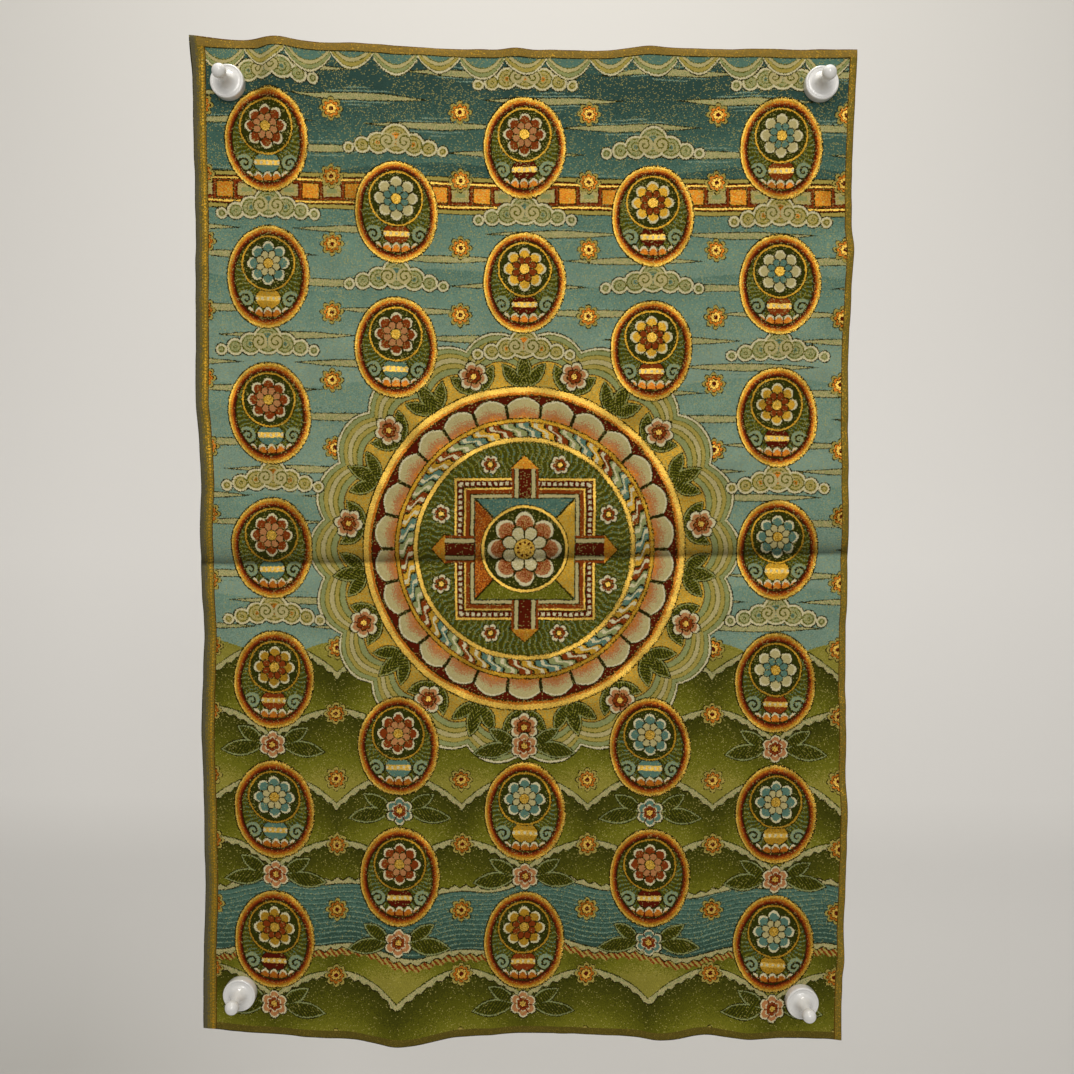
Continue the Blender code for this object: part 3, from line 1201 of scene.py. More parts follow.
@dataclass(frozen=True)
class Border:
    """The woven gold border, with its selvedge strip along the left edge."""

    def weave(self, loom: Loom, flat: Wire) -> None:
        """Lay the border by distance from each edge of the flat cloth, unbent by the weave.

        Args:
            loom: The cloth.
            flat: The place on the flat cloth in metres.
        """
        across, height, _ = loom.graph.parts(flat)
        left = across * MM
        bottom = height * MM
        right = CLOTH_WIDTH - left
        top = CLOTH_HEIGHT - bottom

        loom.lay(Yarn.OUTLINE, top < 8.1)
        loom.lay(loom.mix(Yarn.BORDER_OLIVE, Yarn.BORDER_GOLD, 0.1), bottom < 7.0)
        loom.lay(Yarn.OUTLINE, bottom < 1.0)
        plain = loom.mix(Yarn.BORDER_GOLD, Yarn.GOLD, 0.17)
        loom.lay(Yarn.BROWN, right < 6.7)
        loom.lay(plain, right < 5.9)
        loom.lay(Yarn.BROWN, right < 0.6)
        loom.lay(Yarn.BROWN, left < 12.2)
        loom.lay(plain, left < 11.3)
        dots = (bottom / 3.0).fraction() < 0.62
        loom.lay(Yarn.GOLD, left.near(9.0, 0.8) * dots)
        loom.lay(loom.mix(Yarn.BORDER_BROWN, Yarn.GOLD, 0.07), top < 7.2)
        loom.lay(Yarn.BROWN, top < 1.0)
        loom.lay(loom.mix(Yarn.SELVEDGE, Yarn.BORDER_GOLD, 0.5), left < 6.0)
        loom.lay(Yarn.SELVEDGE, left < 3.8)
        loom.lay(Yarn.OUTLINE, left < 0.8)


@dataclass(frozen=True)
class BrocadePattern:
    """The woven picture, laid motif over motif, each pick of the weave in one plain yarn."""

    pick: float = 0.62
    wander: float = 1.5
    scatter: float = 0.8
    drift_scale: float = 28.0
    layers: tuple = (
        Sky(), Hills(), River(), Terrace(), SmallDisc(), Wreath(), Lattice(), LotusWheel(),
        CloudFringe(),
    )

    def weave(self, graph: Graph, flat: Wire) -> Loom:
        """Draw the whole picture.

        Args:
            graph: The material to draw it in.
            flat: The place on the flat cloth in metres.

        Returns:
            The loom, with the yarn that shows at each pick.
        """
        drift = graph.wire(graph.noise(flat, self.drift_scale, 1.0), "Color")
        slack = self.wander + self.scatter
        start = (-(slack + CLOTH_WIDTH) / 2.0, -(slack + CLOTH_HEIGHT) / 2.0, 0.0)
        bent = graph.vector("MULTIPLY_ADD", drift, (self.wander,) * 3, start)
        placed = graph.vector("MULTIPLY_ADD", flat, (MM, MM, 0.0), bent)
        snapped = graph.vector("SNAP", placed, (self.pick, self.pick, 1.0))
        flat_noise = {"noise_dimensions": "2D"}
        speck = graph.node("ShaderNodeTexWhiteNoise", flat_noise, {"Vector": snapped})
        shift = graph.wire(speck, "Color")
        strewn = graph.vector("MULTIPLY_ADD", shift, (self.scatter,) * 3, snapped)
        x, y, _ = graph.parts(strewn)
        loom = Loom(graph, Spot(graph, x, y), graph.wire(speck, "Value"))
        for layer in self.layers:
            layer.weave(loom)
        Border().weave(loom, flat)
        return loom


@dataclass(frozen=True)
class BrocadeFinish:
    """Yarn colours and surface of one face of the cloth, with painted glints and the fold's painted
    shade.
    """

    name: str
    tones: tuple[str, ...]
    roughness: float
    metal: float
    glint_share: float
    grain_depth: float
    grain_strength: float = 0.6
    rib_scale: tuple[float, float, float] = (520.0, 1150.0, 1.0)
    # Painted glints: pale gold mixed into the colour of a share of small cells, more of them higher
    # up
    painted_glint_tone: str = "#c9bd6a"
    glint_size: tuple[float, float, float] = (0.0009, 0.0007, 1.0)
    glint_strength: float = 0.55
    glint_rise: float = 0.4
    patch_scale: float = 34.0
    shade: float = 0.69
    patch_shade: float = 0.16
    thread_shade: float = 0.26
    # Painted sparkle: metal yarns are made brighter in the same small cells
    metal_painted_sparkle: float = 0.9
    metal_gloss: float = 0.6
    sheen: str = "#f2cf86"
    # Painted shade of the fold's line: darker above it and a little lighter below
    crease_at: float = 0.446
    crease_tilt: float = 0.0215
    crease_painted_light: float = 3.0
    crease_painted_dark: float = 42.0
    crease_spread: float = 8.0
    crease_edge: float = 2.5
    crease_sharpness: float = 0.3

    def material(self, pattern: BrocadePattern) -> bpy.types.Material:
        """Make the material.

        Args:
            pattern: The woven picture.

        Returns:
            The finished material.
        """
        graph = Graph(self.name)
        flat = graph.wire(graph.node("ShaderNodeUVMap", {"uv_map": "flat"}, {}))
        across, height, _ = graph.parts(flat)
        loom = pattern.weave(graph, flat)
        tone, metal = self.yarn_tone(loom)
        # One chance per small cell drives the thread grain, the painted glints and the painted
        # sparkle on metal yarns
        grain_and_glint_chance = graph.chance(graph.vector("SNAP", flat, self.glint_size))
        patchy = graph.wire(graph.noise(flat, self.patch_scale, 2.0))
        share = (height + self.glint_rise) * patchy * self.glint_share
        painted_glint_mask = (grain_and_glint_chance < share) * (loom.yarn < Yarn.SELVEDGE)
        # The colour with the painted glints mixed in
        gilt = graph.blend(tone, linear_colour(self.painted_glint_tone), painted_glint_mask * self.glint_strength)
        grain_and_painted_sparkle = grain_and_glint_chance * (self.thread_shade + metal * self.metal_painted_sparkle)
        shade = self.shade + patchy * self.patch_shade + grain_and_painted_sparkle
        # Painted shade of the fold, multiplied into the colour
        shade = shade * self.painted_crease_shade(across, height)
        toned = graph.node("ShaderNodeVectorMath", {"operation": "SCALE"}, {0: gilt, "Scale": shade})
        ribs = graph.wire(graph.noise(graph.vector("MULTIPLY", flat, self.rib_scale), 1.0, 1.0))
        graph.principled(
            {
                "Base Color": graph.wire(toned),
                "Roughness": self.roughness - metal * self.metal_gloss,
                "Metallic": metal,
                "Normal": graph.bump(ribs, self.grain_strength, self.grain_depth),
                "Specular IOR Level": 0.12,
                "Specular Tint": linear_colour(self.sheen),
            }
        )
        LOG.info("%s: %d nodes", self.name, len(graph.tree.nodes))
        return graph.material

    def yarn_tone(self, loom: Loom) -> tuple[Wire, Wire]:
        """Look the woven yarn's colour up, and how metallic it is.

        Args:
            loom: The cloth being patterned.

        Returns:
            The colour, and how metallic it is from 0 to 1.
        """
        stops = []
        for yarn in Yarn:
            metal = self.metal if yarn in METALLIC_YARNS else 0.0
            stops.append((yarn / YARN_PLACES, (*linear_colour(self.tones[yarn])[:3], metal)))
        place = (loom.yarn + 0.5) / YARN_PLACES
        ramp = loom.graph.node("ShaderNodeValToRGB", {"stops": stops}, {0: place})
        return loom.graph.wire(ramp), loom.graph.wire(ramp, 1)

    def painted_crease_shade(self, across: Wire, height: Wire) -> Wire:
        """Painted shade and light of the old fold: dark above its line and a little lighter below.

        Both die away with one over the square of the distance plus the square of the spread.

        Args:
            across: Metres from the flat cloth's left edge.
            height: Metres from its bottom edge.

        Returns:
            What the colour is multiplied by.
        """
        tilt = (across - CLOTH_WIDTH / MM / 2.0) * self.crease_tilt
        fold = (height - tilt - self.crease_at) * MM
        above = ((fold + self.crease_edge) * self.crease_sharpness).most(0.0).least(1.0)
        dark = above * (self.crease_painted_dark + self.crease_painted_light) - self.crease_painted_light
        return 1.0 - dark / (fold * fold + self.crease_spread**2)


@dataclass(frozen=True)
class GlossyPlastic:
    """White moulded plastic of the push pins."""

    name: str = "glossy_white_plastic"
    tone: str = "#e2e1df"
    roughness: float = 0.24
    roughness_spread: float = 0.12
    broad_scale: float = 70.0
    fine_scale: float = 900.0
    fine_share: float = 0.3
    skin_strength: float = 0.25
    skin_depth: float = 0.0001

    def material(self) -> bpy.types.Material:
        """Make the material, with a faint unevenness in its gloss and skin.

        Returns:
            The finished material.
        """
        graph = Graph(self.name)
        spot = graph.wire(graph.node("ShaderNodeTexCoord", {}, {}), "Object")
        inputs = {"Vector": spot, "Scale": self.broad_scale, "Detail": 3.0}
        broad = graph.wire(graph.node("ShaderNodeTexNoise", {}, inputs))
        inputs = {"Vector": spot, "Scale": self.fine_scale, "Detail": 2.0}
        fine = graph.wire(graph.node("ShaderNodeTexNoise", {}, inputs))
        skin = broad + fine * self.fine_share
        graph.principled(
            {
                "Base Color": linear_colour(self.tone),
                "Roughness": (fine - 0.5) * self.roughness_spread + self.roughness,
                "Normal": graph.bump(skin, self.skin_strength, self.skin_depth),
                "Coat Weight": 0.5,
                "Coat Roughness": 0.08,
                "Subsurface Weight": 0.05,
                "Subsurface Radius": (0.003, 0.003, 0.0025),
            }
        )
        return graph.material


@dataclass(frozen=True)
class PaperSweep:
    """Matt backdrop paper with painted shade: darker at its top and its foot, most at the foot's
    left.
    """

    name: str = "stage_paper"
    tone: str = "#f5f4f3"
    top_painted_shade: str = "#c6c5c2"
    foot_painted_shade: str = "#d2d1cf"
    foot_left_painted_shade: str = "#bebdba"
    roughness: float = 0.9

    def material(self) -> bpy.types.Material:
        """Make the material, with painted shade mixed from the foot's left to its right and by
        height from the foot to the middle's tone and the top's.

        Returns:
            The finished material.
        """
        graph = Graph(self.name)
        spot = graph.wire(graph.node("ShaderNodeTexCoord", {}, {}), "Object")
        across, _, height = graph.parts(spot)
        # Painted shade: the foot darker, most at its left, and the top darker too
        paper: Wire | tuple = linear_colour(self.foot_left_painted_shade)
        for place, start, length, tone in (
            (across, -1.35, 0.8, self.foot_painted_shade),
            (height, -2.1, 0.75, self.tone),
            (height, -0.6, 2.0, self.top_painted_shade),
        ):
            share = ((place - start) / length).most(0.0).least(1.0)
            paper = graph.blend(paper, linear_colour(tone), share)
        graph.principled({"Base Color": paper, "Roughness": self.roughness})
        return graph.material


def bell(distance: np.ndarray, half_length: float) -> np.ndarray:
    """Bell curve: e to the power of minus the square of distance over half length."""
    return np.exp(-((distance / half_length) ** 2))


def soft_step(value: np.ndarray) -> np.ndarray:
    """Rise from 0 to 1: three times the square less twice the cube of the clipped value."""
    held = np.clip(value, 0.0, 1.0)
    return held * held * (3.0 - 2.0 * held)


def mesh_object(name: str, points: np.ndarray, faces: list[np.ndarray]) -> bpy.types.Object:
    """Make an object at the origin from whole arrays.

    Args:
        name: The object's and mesh's name.
        points: One row of three coordinates for each vertex.
        faces: Arrays of vertex numbers, one row for each face, each array with its own face size.

    Returns:
        The object, linked to the scene and shaded smooth.
    """
    mesh = bpy.data.meshes.new(name)
    loops = np.concatenate([block.ravel() for block in faces])
    sizes = np.concatenate([np.full(len(block), block.shape[1]) for block in faces])
    starts = np.concatenate(([0], np.cumsum(sizes)[:-1]))
    mesh.vertices.add(len(points))
    mesh.vertices.foreach_set("co", np.ascontiguousarray(points, dtype=np.float32).ravel())
    mesh.loops.add(len(loops))
    mesh.loops.foreach_set("vertex_index", loops.astype(np.int32))
    mesh.polygons.add(len(sizes))
    mesh.polygons.foreach_set("loop_start", starts.astype(np.int32))
    mesh.update(calc_edges=True)
    mesh.validate()
    mesh.shade_smooth()
    made = bpy.data.objects.new(name, mesh)
    bpy.context.scene.collection.objects.link(made)
    return made


class Corner(NamedTuple):
    """How far a corner of the panel has moved from its place on a true rectangle."""

    right: float
    up: float


class Side(Enum):
    """An edge of the panel."""

    TOP = "top"
    BOTTOM = "bottom"
    LEFT = "left"
    RIGHT = "right"


class EdgeWave(NamedTuple):
    """A stretch of edge that is pushed outwards, or drawn in where push is negative."""

    side: Side
    place: float
    half_length: float
    push: float


class Ripple(NamedTuple):
    """A soft bump in which the cloth stands off its resting plane."""

    x: float
    z: float
    half_width: float
    half_height: float
    lift: float


# Top left and right, then bottom left and right
CORNERS = (
    Corner(right=0.0000, up=0.0033),
    Corner(right=-0.0016, up=-0.0025),
    Corner(right=0.0034, up=0.0075),
    Corner(right=-0.0004, up=-0.0022),
)

EDGE_WAVES = (
    EdgeWave(Side.TOP, -0.035, 0.135, -0.0052),
    EdgeWave(Side.TOP, 0.090, 0.045, -0.0020),
    EdgeWave(Side.TOP, 0.190, 0.060, -0.0012),
    EdgeWave(Side.BOTTOM, -0.262, 0.028, 0.0026),
    EdgeWave(Side.BOTTOM, -0.190, 0.062, 0.0082),
    EdgeWave(Side.BOTTOM, -0.080, 0.052, 0.0040),
    EdgeWave(Side.BOTTOM, 0.175, 0.030, -0.0020),
    EdgeWave(Side.LEFT, -0.165, 0.060, -0.0018),
    EdgeWave(Side.LEFT, -0.390, 0.050, -0.0048),
    EdgeWave(Side.LEFT, -0.532, 0.072, -0.0054),
    EdgeWave(Side.LEFT, -0.740, 0.090, -0.0036),
    EdgeWave(Side.RIGHT, -0.110, 0.080, -0.0030),
    EdgeWave(Side.RIGHT, -0.310, 0.110, -0.0038),
    EdgeWave(Side.RIGHT, -0.540, 0.080, -0.0024),
    EdgeWave(Side.RIGHT, -0.740, 0.085, 0.0016),
)

RIPPLES = (
    Ripple(-0.225, 0.000, 0.020, 0.060, 0.0135),
    Ripple(-0.009, 0.000, 0.011, 0.045, 0.0050),
    Ripple(0.108, 0.000, 0.024, 0.070, 0.0085),
    Ripple(0.205, 0.000, 0.022, 0.040, 0.0020),
    Ripple(-0.300, 0.000, 0.020, 0.022, 0.0080),
    Ripple(-0.112, -0.910, 0.038, 0.085, 0.0200),
    Ripple(0.130, -0.910, 0.025, 0.060, 0.0085),
    Ripple(0.213, -0.910, 0.022, 0.030, 0.0045),
    Ripple(-0.300, -0.380, 0.030, 0.030, 0.0030),
    Ripple(0.300, -0.180, 0.030, 0.016, 0.0075),
    Ripple(0.300, -0.695, 0.035, 0.024, 0.0080),
    Ripple(0.300, -0.832, 0.020, 0.018, 0.0060),
    Ripple(-0.150, -0.210, 0.060, 0.160, 0.0030),
    Ripple(0.085, -0.270, 0.070, 0.170, 0.0028),
    Ripple(-0.030, -0.690, 0.110, 0.130, 0.0035),
    Ripple(0.190, -0.610, 0.060, 0.100, 0.0022),
)


@dataclass(frozen=True)
class WovenPanel:
    """The brocade panel: its hanging shape, its hem and its two faces."""

    name: str = "brocade_panel"
    width: float = CLOTH_WIDTH / MM
    height: float = CLOTH_HEIGHT / MM
    thickness: float = 0.0012
    hem_width: float = 0.0085
    hem_swell: float = 0.0004
    edge_round: float = 0.0012
    rim_share: float = 0.30
    pitch: float = 0.0037
    flat_across: tuple[tuple[float, float], ...] = ((-0.283, -0.245), (0.245, 0.284))
    flat_along: tuple[tuple[float, float], ...] = ((-0.058, -0.017), (-0.896, -0.855))
    flat_fade: float = 0.020
    crease_height: float = -0.463
    crease_slope: float = 0.0133
    crease_reach: float = 0.200
    crease_stand_off: float = 0.0042
    crease_flank: float = 0.017
    crease_fade: float = 0.110
    crease_middle_share: float = 0.30
    crease_narrowing: float = 0.4
    crease_calm: float = 0.85
    pucker: float = 0.00035
    pucker_lengths: tuple[float, ...] = (0.120, 0.085, 0.060, 0.042, 0.030, 0.022)
    pucker_main_length: float = 0.060
    puckers_each: int = 3
    pucker_stand_off: float = 2.5
    seed: int = 7

    def clear_of_pins(self, x: np.ndarray, z: np.ndarray) -> np.ndarray:
        """0 on the flat patches under the pins, rising by a soft step to 1 a little way off.

        Args:
            x: Places across the flat panel.
            z: Places along it, negative downwards.

        Returns:
            The share of the stand-off that each place keeps.
        """
        share = np.ones_like(x)
        for across in self.flat_across:
            for along in self.flat_along:
                past_x = np.maximum(np.maximum(across[0] - x, x - across[1]), 0.0)
                past_z = np.maximum(np.maximum(along[0] - z, z - along[1]), 0.0)
                share = share * soft_step(np.hypot(past_x, past_z) / self.flat_fade)
        return share

    def crease_lift(self, x: np.ndarray, z: np.ndarray) -> np.ndarray:
        """Stand-off on both flanks of the fold: one minus a decay with distance, times a bell.

        Args:
            x: Places across the flat panel.
            z: Places along it, negative downwards.

        Returns:
            The stand-off at each place.
        """
        away = np.abs(z - self.crease_height)
        to_side = np.abs(x) / (self.width / 2.0)
        share = self.crease_middle_share
        wide = to_side * (1.0 + self.crease_narrowing) - self.crease_narrowing
        share = share + (1.0 - share) * soft_step(wide)
        rise = 1.0 - np.exp(-away / self.crease_flank)
        return self.crease_stand_off * share * rise * bell(away, self.crease_fade)

    def puckers(self, x: np.ndarray, z: np.ndarray) -> np.ndarray:
        """Fine unevenness: a sum of sine waves of seeded directions, lengths and phases.

        Args:
            x: Places across the flat panel.
            z: Places along it, negative downwards.

        Returns:
            The unevenness at each place.
        """
        draw = np.random.default_rng(self.seed)
        total = np.zeros_like(x)
        for length in self.pucker_lengths:
            height = (length / self.pucker_main_length) ** 0.8
            for _ in range(self.puckers_each):
                turn = draw.uniform(0.0, math.pi)
                phase = draw.uniform(0.0, TURN)
                along = (x * math.cos(turn) + z * math.sin(turn)) * (TURN / length)
                total += height * np.sin(along + phase)
        return self.pucker * total

    def stand_off(self, x: np.ndarray, z: np.ndarray) -> np.ndarray:
        """How far the cloth's back stands off its resting plane.

        It is the sum of the fold, the ripples and the puckers, and 0 where that is negative.

        Ripples and puckers are calmed near the fold, and all of it under the pins.

        Args:
            x: Places across the flat panel.
            z: Places along it, negative downwards.

        Returns:
            The stand-off at each place.
        """
        lift = self.crease_lift(x, z)
        off_crease = 1.0 - self.crease_calm * bell(z - self.crease_height, self.crease_flank * 2.0)
        for ripple in RIPPLES:
            bump = bell(x - ripple.x, ripple.half_width) * bell(z - ripple.z, ripple.half_height)
            lift = lift + ripple.lift * bump * off_crease
        lift = lift + (self.puckers(x, z) + self.pucker_stand_off * self.pucker) * off_crease
        return np.maximum(lift, 0.0) * self.clear_of_pins(x, z)

    def edge_push(self, side: Side, place: np.ndarray) -> np.ndarray:
        """Outward shift of one edge: a sum of bells along it.

        Args:
            side: The edge.
            place: Places along it, x on the top and bottom and z on the others.

        Returns:
            The shift at each place.
        """
        push = np.zeros_like(place)
        for wave in EDGE_WAVES:
            if wave.side is side:
                push = push + wave.push * bell(place - wave.place, wave.half_length)
        return push

    def hang(self, x: np.ndarray, z: np.ndarray) -> np.ndarray:
        """Carry places on the flat panel to where they hang.

        The corners' shifts are blended linearly, and each edge's waves fade inwards with a power
        of the share of the way to the other side.

        Args:
            x: Places across the flat panel.
            z: Places along it, 0 at the top and negative downwards.

        Returns:
            One row of three coordinates for each place.
        """
        right = np.clip(x / self.width + 0.5, 0.0, 1.0)
        up = np.clip(z / self.height + 1.0, 0.0, 1.0)
        left, down = 1.0 - right, 1.0 - up
        hung_x = x.copy()
        hung_z = z.copy()
        for corner, share in zip(CORNERS, (left * up, right * up, left * down, right * down)):
            hung_x += corner.right * share
            hung_z += corner.up * share
        hung_x = hung_x + self.edge_push(Side.RIGHT, z) * right**2
        hung_x = hung_x - self.edge_push(Side.LEFT, z) * left**2
        hung_z = hung_z + self.edge_push(Side.TOP, x) * up**3
        hung_z = hung_z - self.edge_push(Side.BOTTOM, x) * down**3
        hung_z = hung_z + self.crease_slope * x * bell(z - self.crease_height, self.crease_reach)
        return np.stack([hung_x, -self.stand_off(x, z), hung_z], axis=-1)

    def stations(self, length: float) -> np.ndarray:
        """Grid lines along a length, even but for close ones at both rims.

        Args:
            length: The length to divide.

        Returns:
            Places from 0 to the length.
        """
        rim = np.array([0.0, 0.18, 0.5, 1.0]) * self.edge_round
        count = round((length - 2.0 * self.edge_round) / self.pitch)
        middle = np.linspace(self.edge_round, length - self.edge_round, count + 1)[1:-1]
        return np.concatenate((rim, middle, length - rim[::-1]))

    def build(self) -> bpy.types.Object:
        """Build the panel as one closed sheet.

        Front and back are the hung surface moved out along its own normal. The half thickness
        grows by a quarter circle from its share at the rim, and the hem swells the front of it.

        Returns:
            The panel, with a UV map named flat in metres and its back's faces marked.
        """
        across = self.stations(self.width) - self.width / 2.0
        along = -self.stations(self.height)
        x, z = np.meshgrid(across, along)
        middle = self.hang(x, z)
        slope_x = np.gradient(middle, axis=1)
        slope_z = np.gradient(middle, axis=0)
        normal = np.cross(slope_x, slope_z)
        normal /= np.linalg.norm(normal, axis=-1, keepdims=True)
        normal *= np.where(normal[..., 1:2] > 0.0, -1.0, 1.0)

        rim = np.minimum(self.width / 2.0 - np.abs(x), np.minimum(-z, z + self.height))
        inset = np.clip(rim / self.edge_round, 0.0, 1.0)
        round_off = np.sqrt(1.0 - (1.0 - inset) ** 2)
        half = self.thickness / 2.0 * (self.rim_share + (1.0 - self.rim_share) * round_off)
        past_hem = soft_step((rim - self.hem_width * 0.75) / (self.hem_width * 0.4))
        swell = self.hem_swell * (1.0 - past_hem) * inset
        centre = middle + normal * (self.thickness / 2.0)
        front = centre + normal * (half + swell)[..., None]
        back = centre - normal * half[..., None]
        points = np.concatenate((front.reshape(-1, 3), back.reshape(-1, 3)))

        rows, columns = x.shape
        number = np.arange(rows * columns).reshape(rows, columns)
        corners = (number[:-1, :-1], number[1:, :-1], number[1:, 1:], number[:-1, 1:])
        face = np.stack(corners, axis=-1).reshape(-1, 4)
        ring = np.concatenate((number[0, :-1], number[:-1, -1], number[-1, :0:-1], number[:0:-1, 0]))
        following = np.roll(ring, -1)
        offset = rows * columns
        sides = np.stack((ring, following, following + offset, ring + offset), axis=-1)
        panel = mesh_object(self.name, points, [face, face[:, ::-1] + offset, sides])

        flat = np.stack((x + self.width / 2.0, z + self.height), axis=-1).reshape(-1, 2)
        flat = np.concatenate((flat, flat))
        loops = np.empty(len(panel.data.loops), dtype=np.int32)
        panel.data.loops.foreach_get("vertex_index", loops)
        layer = panel.data.uv_layers.new(name="flat")
        layer.uv.foreach_set("vector", flat[loops].astype(np.float32).ravel())
        is_back = np.zeros(len(panel.data.polygons), dtype=np.int32)
        is_back[len(face) : 2 * len(face)] = 1
        panel.data.polygons.foreach_set("material_index", is_back)
        return panel

    def dress(self, panel: bpy.types.Object) -> None:
        """Give the panel its front and back, hang it on the root body and hide the imported cloth.

        Args:
            panel: The built panel.
        """
        pattern = BrocadePattern()
        front_tones = tuple(yarn.front for yarn in Yarn)
        back_tones = tuple(yarn.back for yarn in Yarn)
        front = BrocadeFinish(
            "brocade_front",
            front_tones,
            roughness=0.74,
            metal=0.5,
            glint_share=0.15,
            grain_depth=0.00024,
        )
        back = BrocadeFinish(
            "brocade_back",
            back_tones,
            roughness=0.85,
            metal=0.2,
            glint_share=0.08,
            grain_depth=0.00034,
        )
        panel.data.materials.append(front.material(pattern))
        panel.data.materials.append(back.material(pattern))
        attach(panel, BODY)
        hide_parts("thangka_cloth")


class PinPlace(NamedTuple):
    """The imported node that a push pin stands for, and where it sits."""

    node: str
    x: float
    z: float


PIN_PLACES = (
    PinPlace("pin_top_left", -0.2668, -0.0367),
    PinPlace("pin_top_right", 0.2649, -0.0345),
    PinPlace("pin_bottom_left", -0.2612, -0.8689),
    PinPlace("pin_bottom_right", 0.2612, -0.8744),
)


@dataclass(frozen=True)
class PushPin:
    """A turned push pin: a flat-rimmed base, a dished shoulder, a waist and a round knob."""

    place: PinPlace
    base_y: float = -0.0015
    radius: float = 0.0150
    skirt: float = 0.0090
    edge_round: float = 0.0014
    dish_radius: float = 0.0130
    dish_depth: float = 0.0006
    neck_radius: float = 0.0043
    neck_start: float = 0.0190
    knob_radius: float = 0.0063
    knob_centre: float = 0.0315
    waist_hollow: float = 0.00015
    lip: float = 0.0002
    foot_round: float = 0.0005
    base_radii: tuple[float, ...] = (0.0130, 0.0060, 0.0004)
    steps: int = 72

    def arc(
        self, centre: tuple[float, float], radius: float, start: float, end: float, count: int
    ) -> np.ndarray:
        """Points on a circle's arc: centre plus radius times the cosine and sine of the angle.

        Args:
            centre: Its centre's radius and height in the profile.
            radius: The arc's own radius.
            start: Its first angle in degrees.
            end: Its last angle in degrees.
            count: How many points.

        Returns:
            One row of radius and height for each point.
        """
        angles = np.radians(np.linspace(start, end, count))
        around = np.stack((np.cos(angles), np.sin(angles)), axis=-1)
        return np.array(centre) + radius * around

    def profile(self) -> np.ndarray:
        """Half outline from the knob's tip down to the base, as radius and height.

        The knob is an arc. The shoulder's height falls with the cube of the way from the neck to
        the dish, and the rim is a lip with a quarter arc outside and a small roll inside.

        Returns:
            One row of radius and height for each point.
        """
        neck_angle = -math.degrees(math.acos(self.neck_radius / self.knob_radius))
        knob = self.arc((0.0, self.knob_centre), self.knob_radius, 88.0, neck_angle + 4.0, 22)
        waist = np.linspace(0.0, 1.0, 8)
        foot_of_knob = self.knob_centre + self.knob_radius * math.sin(math.radians(neck_angle))
        waist_height = foot_of_knob + (self.neck_start - foot_of_knob) * waist
        waist_radius = self.neck_radius - self.waist_hollow * np.sin(math.pi * waist)
        share = np.linspace(0.0, 1.0, 16)[1:]
        dish_height = self.skirt - self.dish_depth
        shoulder_radius = self.neck_radius + (self.dish_radius - self.neck_radius) * share
        shoulder_height = dish_height + (self.neck_start - dish_height) * (1.0 - share) ** 3
        inner = np.array([[self.dish_radius + self.lip, self.skirt - self.lip / 2.0]])
        rim_centre = (self.radius - self.edge_round, self.skirt - self.edge_round)
        rim = self.arc(rim_centre, self.edge_round, 90.0, 0.0, 9)
        foot_centre = (self.radius - self.foot_round, self.foot_round)
        foot = self.arc(foot_centre, self.foot_round, 0.0, -90.0, 5)
        base = np.array([(radius, 0.0) for radius in self.base_radii])
        waist_line = np.stack((waist_radius, waist_height), axis=-1)
        shoulder = np.stack((shoulder_radius, shoulder_height), axis=-1)
        return np.concatenate((knob, waist_line, shoulder, inner, rim, foot, base))

    def build(self) -> bpy.types.Object:
        """Turn the profile about its axis: radius times cosine and sine, height outwards.

        Returns:
            The pin, closed at both poles.
        """
        profile = self.profile()
        angles = np.arange(self.steps) * (TURN / self.steps)
        radius = profile[:, 0][:, None]
        rings = np.stack(
            (
                self.place.x + radius * np.cos(angles),
                np.broadcast_to(self.base_y - profile[:, 1][:, None], (len(profile), self.steps)),
                self.place.z + radius * np.sin(angles),
            ),
            axis=-1,
        )
        tip = [self.place.x, self.base_y - self.knob_centre - self.knob_radius, self.place.z]
        foot = [self.place.x, self.base_y, self.place.z]
        points = np.concatenate((rings.reshape(-1, 3), [tip], [foot]))
        number = np.arange(len(profile) * self.steps).reshape(len(profile), self.steps)
        turned = np.roll(number, -1, axis=1)
        body = np.stack((number[:-1], number[1:], turned[1:], turned[:-1]), axis=-1).reshape(-1, 4)
        tip_number = np.full(self.steps, len(points) - 2)
        foot_number = np.full(self.steps, len(points) - 1)
        top_fan = np.stack((tip_number, number[0], turned[0]), axis=-1)
        foot_fan = np.stack((foot_number, turned[-1], number[-1]), axis=-1)
        return mesh_object(f"{self.place.node}_turned", points, [body, top_fan, foot_fan])

    def dress(self, pin: bpy.types.Object, plastic: bpy.types.Material) -> None:
        """Give the pin its plastic, hang it on the root body and hide the imported node it replaces.

        Args:
            pin: The built pin.
            plastic: Its material.
        """
        pin.data.materials.append(plastic)
        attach(pin, BODY)
        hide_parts(self.place.node)


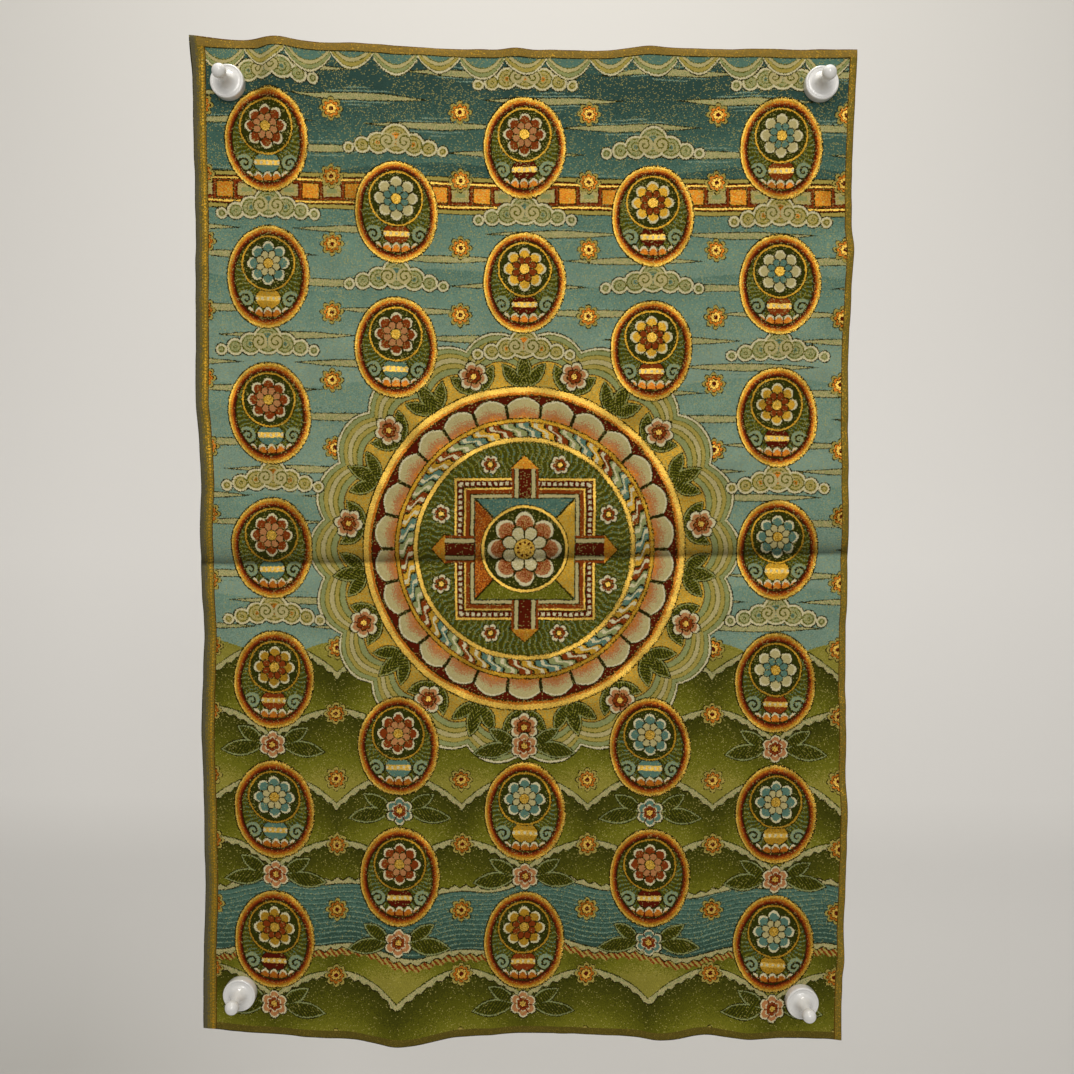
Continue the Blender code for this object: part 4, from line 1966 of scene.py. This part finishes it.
@dataclass(frozen=True)
class Stage:
    """A pale floor below and a pale backdrop well behind, joined by a cove."""

    floor_height: float = -2.45
    backdrop_y: float = 2.3
    half_width: float = 6.0
    front_y: float = -4.5
    top: float = 4.0
    cove: float = 0.9

    def build(self) -> None:
        """Sweep a floor, a quarter-circle cove and a backdrop across the stage's width."""
        angles = np.radians(np.linspace(0.0, 90.0, 17))
        cove_y = self.backdrop_y - self.cove + self.cove * np.sin(angles)
        cove_z = self.floor_height + self.cove - self.cove * np.cos(angles)
        line_y = np.concatenate(([self.front_y], cove_y, [self.backdrop_y]))
        line_z = np.concatenate(([self.floor_height], cove_z, [self.top]))
        sides = np.array([-self.half_width, self.half_width])
        x, y = np.meshgrid(sides, line_y, indexing="ij")
        points = np.stack((x, y, np.broadcast_to(line_z, x.shape)), axis=-1)
        number = np.arange(x.size).reshape(x.shape)
        face = np.stack((number[0, :-1], number[1, :-1], number[1, 1:], number[0, 1:]), axis=-1)
        sweep = mesh_object("stage_sweep", points.reshape(-1, 3), [face])
        sweep.data.materials.append(PaperSweep().material())


class Lamp(NamedTuple):
    """A square soft light: where it stands, what it faces, its side, its watts and its colour."""

    name: str
    place: tuple[float, float, float]
    aim: tuple[float, float, float]
    size: float
    power: float
    tone: str


PANEL_MIDDLE = (0.0, 0.0, -0.455)

LAMPS = (
    Lamp("ceiling_light", (-0.25, -1.25, 1.0), PANEL_MIDDLE, 1.3, 9.0, "#fff9ef"),
    Lamp("room_light", (0.25, -2.6, 0.35), PANEL_MIDDLE, 1.3, 31.0, "#fdfbf6"),
    Lamp("backdrop_light", (0.0, 0.45, 3.9), (0.0, 2.3, -2.0), 1.6, 190.0, "#fffaf2"),
)


@dataclass(frozen=True)
class Studio:
    """Soft light, the world and the camera."""

    world_tone: str = "#f3f1ec"
    world_strength: float = 0.28
    camera_place: tuple[float, float, float] = (0.0087, -0.987, -0.3994)
    camera_pitch: float = 2.52
    camera_heading: float = -0.21
    camera_roll: float = 0.32

    def light(self) -> None:
        """Light the panel softly from above and in front, and the backdrop by itself."""
        world = bpy.data.worlds.new("pale_room")
        world.use_nodes = True
        backdrop = world.node_tree.nodes["Background"]
        backdrop.inputs["Color"].default_value = linear_colour(self.world_tone)
        backdrop.inputs["Strength"].default_value = self.world_strength
        bpy.context.scene.world = world
        for lamp in LAMPS:
            source = bpy.data.lights.new(lamp.name, "AREA")
            source.size = lamp.size
            source.energy = lamp.power
            source.color = linear_colour(lamp.tone)[:3]
            light = bpy.data.objects.new(lamp.name, source)
            light.location = lamp.place
            way = Vector(lamp.aim) - Vector(lamp.place)
            light.rotation_euler = way.to_track_quat("-Z", "Y").to_euler()
            bpy.context.scene.collection.objects.link(light)

    def place_camera(self) -> None:
        """Stand the camera where the photograph was taken from."""
        camera = bpy.data.cameras.new("front_camera")
        camera.sensor_fit = "HORIZONTAL"
        camera.lens_unit = "FOV"
        camera.angle = 2.0 * math.atan(PHOTO_WIDTH / 2.0 / PHOTO_FOCAL)
        camera.clip_start = 0.01
        stand = bpy.data.objects.new("front_camera", camera)
        heading = Matrix.Rotation(math.radians(self.camera_heading), 4, "Z")
        tilt = Matrix.Rotation(math.radians(90.0 - self.camera_pitch), 4, "X")
        roll = Matrix.Rotation(math.radians(self.camera_roll), 4, "Z")
        stand.matrix_world = Matrix.Translation(self.camera_place) @ heading @ tilt @ roll
        bpy.context.scene.collection.objects.link(stand)
        bpy.context.scene.camera = stand


def main() -> None:
    """Dress the frame: the panel, its pins, the stage and the light."""
    logging.basicConfig(level=logging.INFO, format="%(name)s: %(message)s")
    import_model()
    bpy.context.scene.view_settings.view_transform = "Standard"

    panel = WovenPanel()
    cloth = panel.build()
    panel.dress(cloth)
    LOG.info("%s: %d faces", cloth.name, len(cloth.data.polygons))

    plastic = GlossyPlastic().material()
    for place in PIN_PLACES:
        pin = PushPin(place)
        turned = pin.build()
        pin.dress(turned, plastic)
        LOG.info("%s: %d faces", turned.name, len(turned.data.polygons))

    Stage().build()
    studio = Studio()
    studio.light()
    studio.place_camera()
    LOG.info("stage, light and camera are in place")


if __name__ == "__main__":
    main()
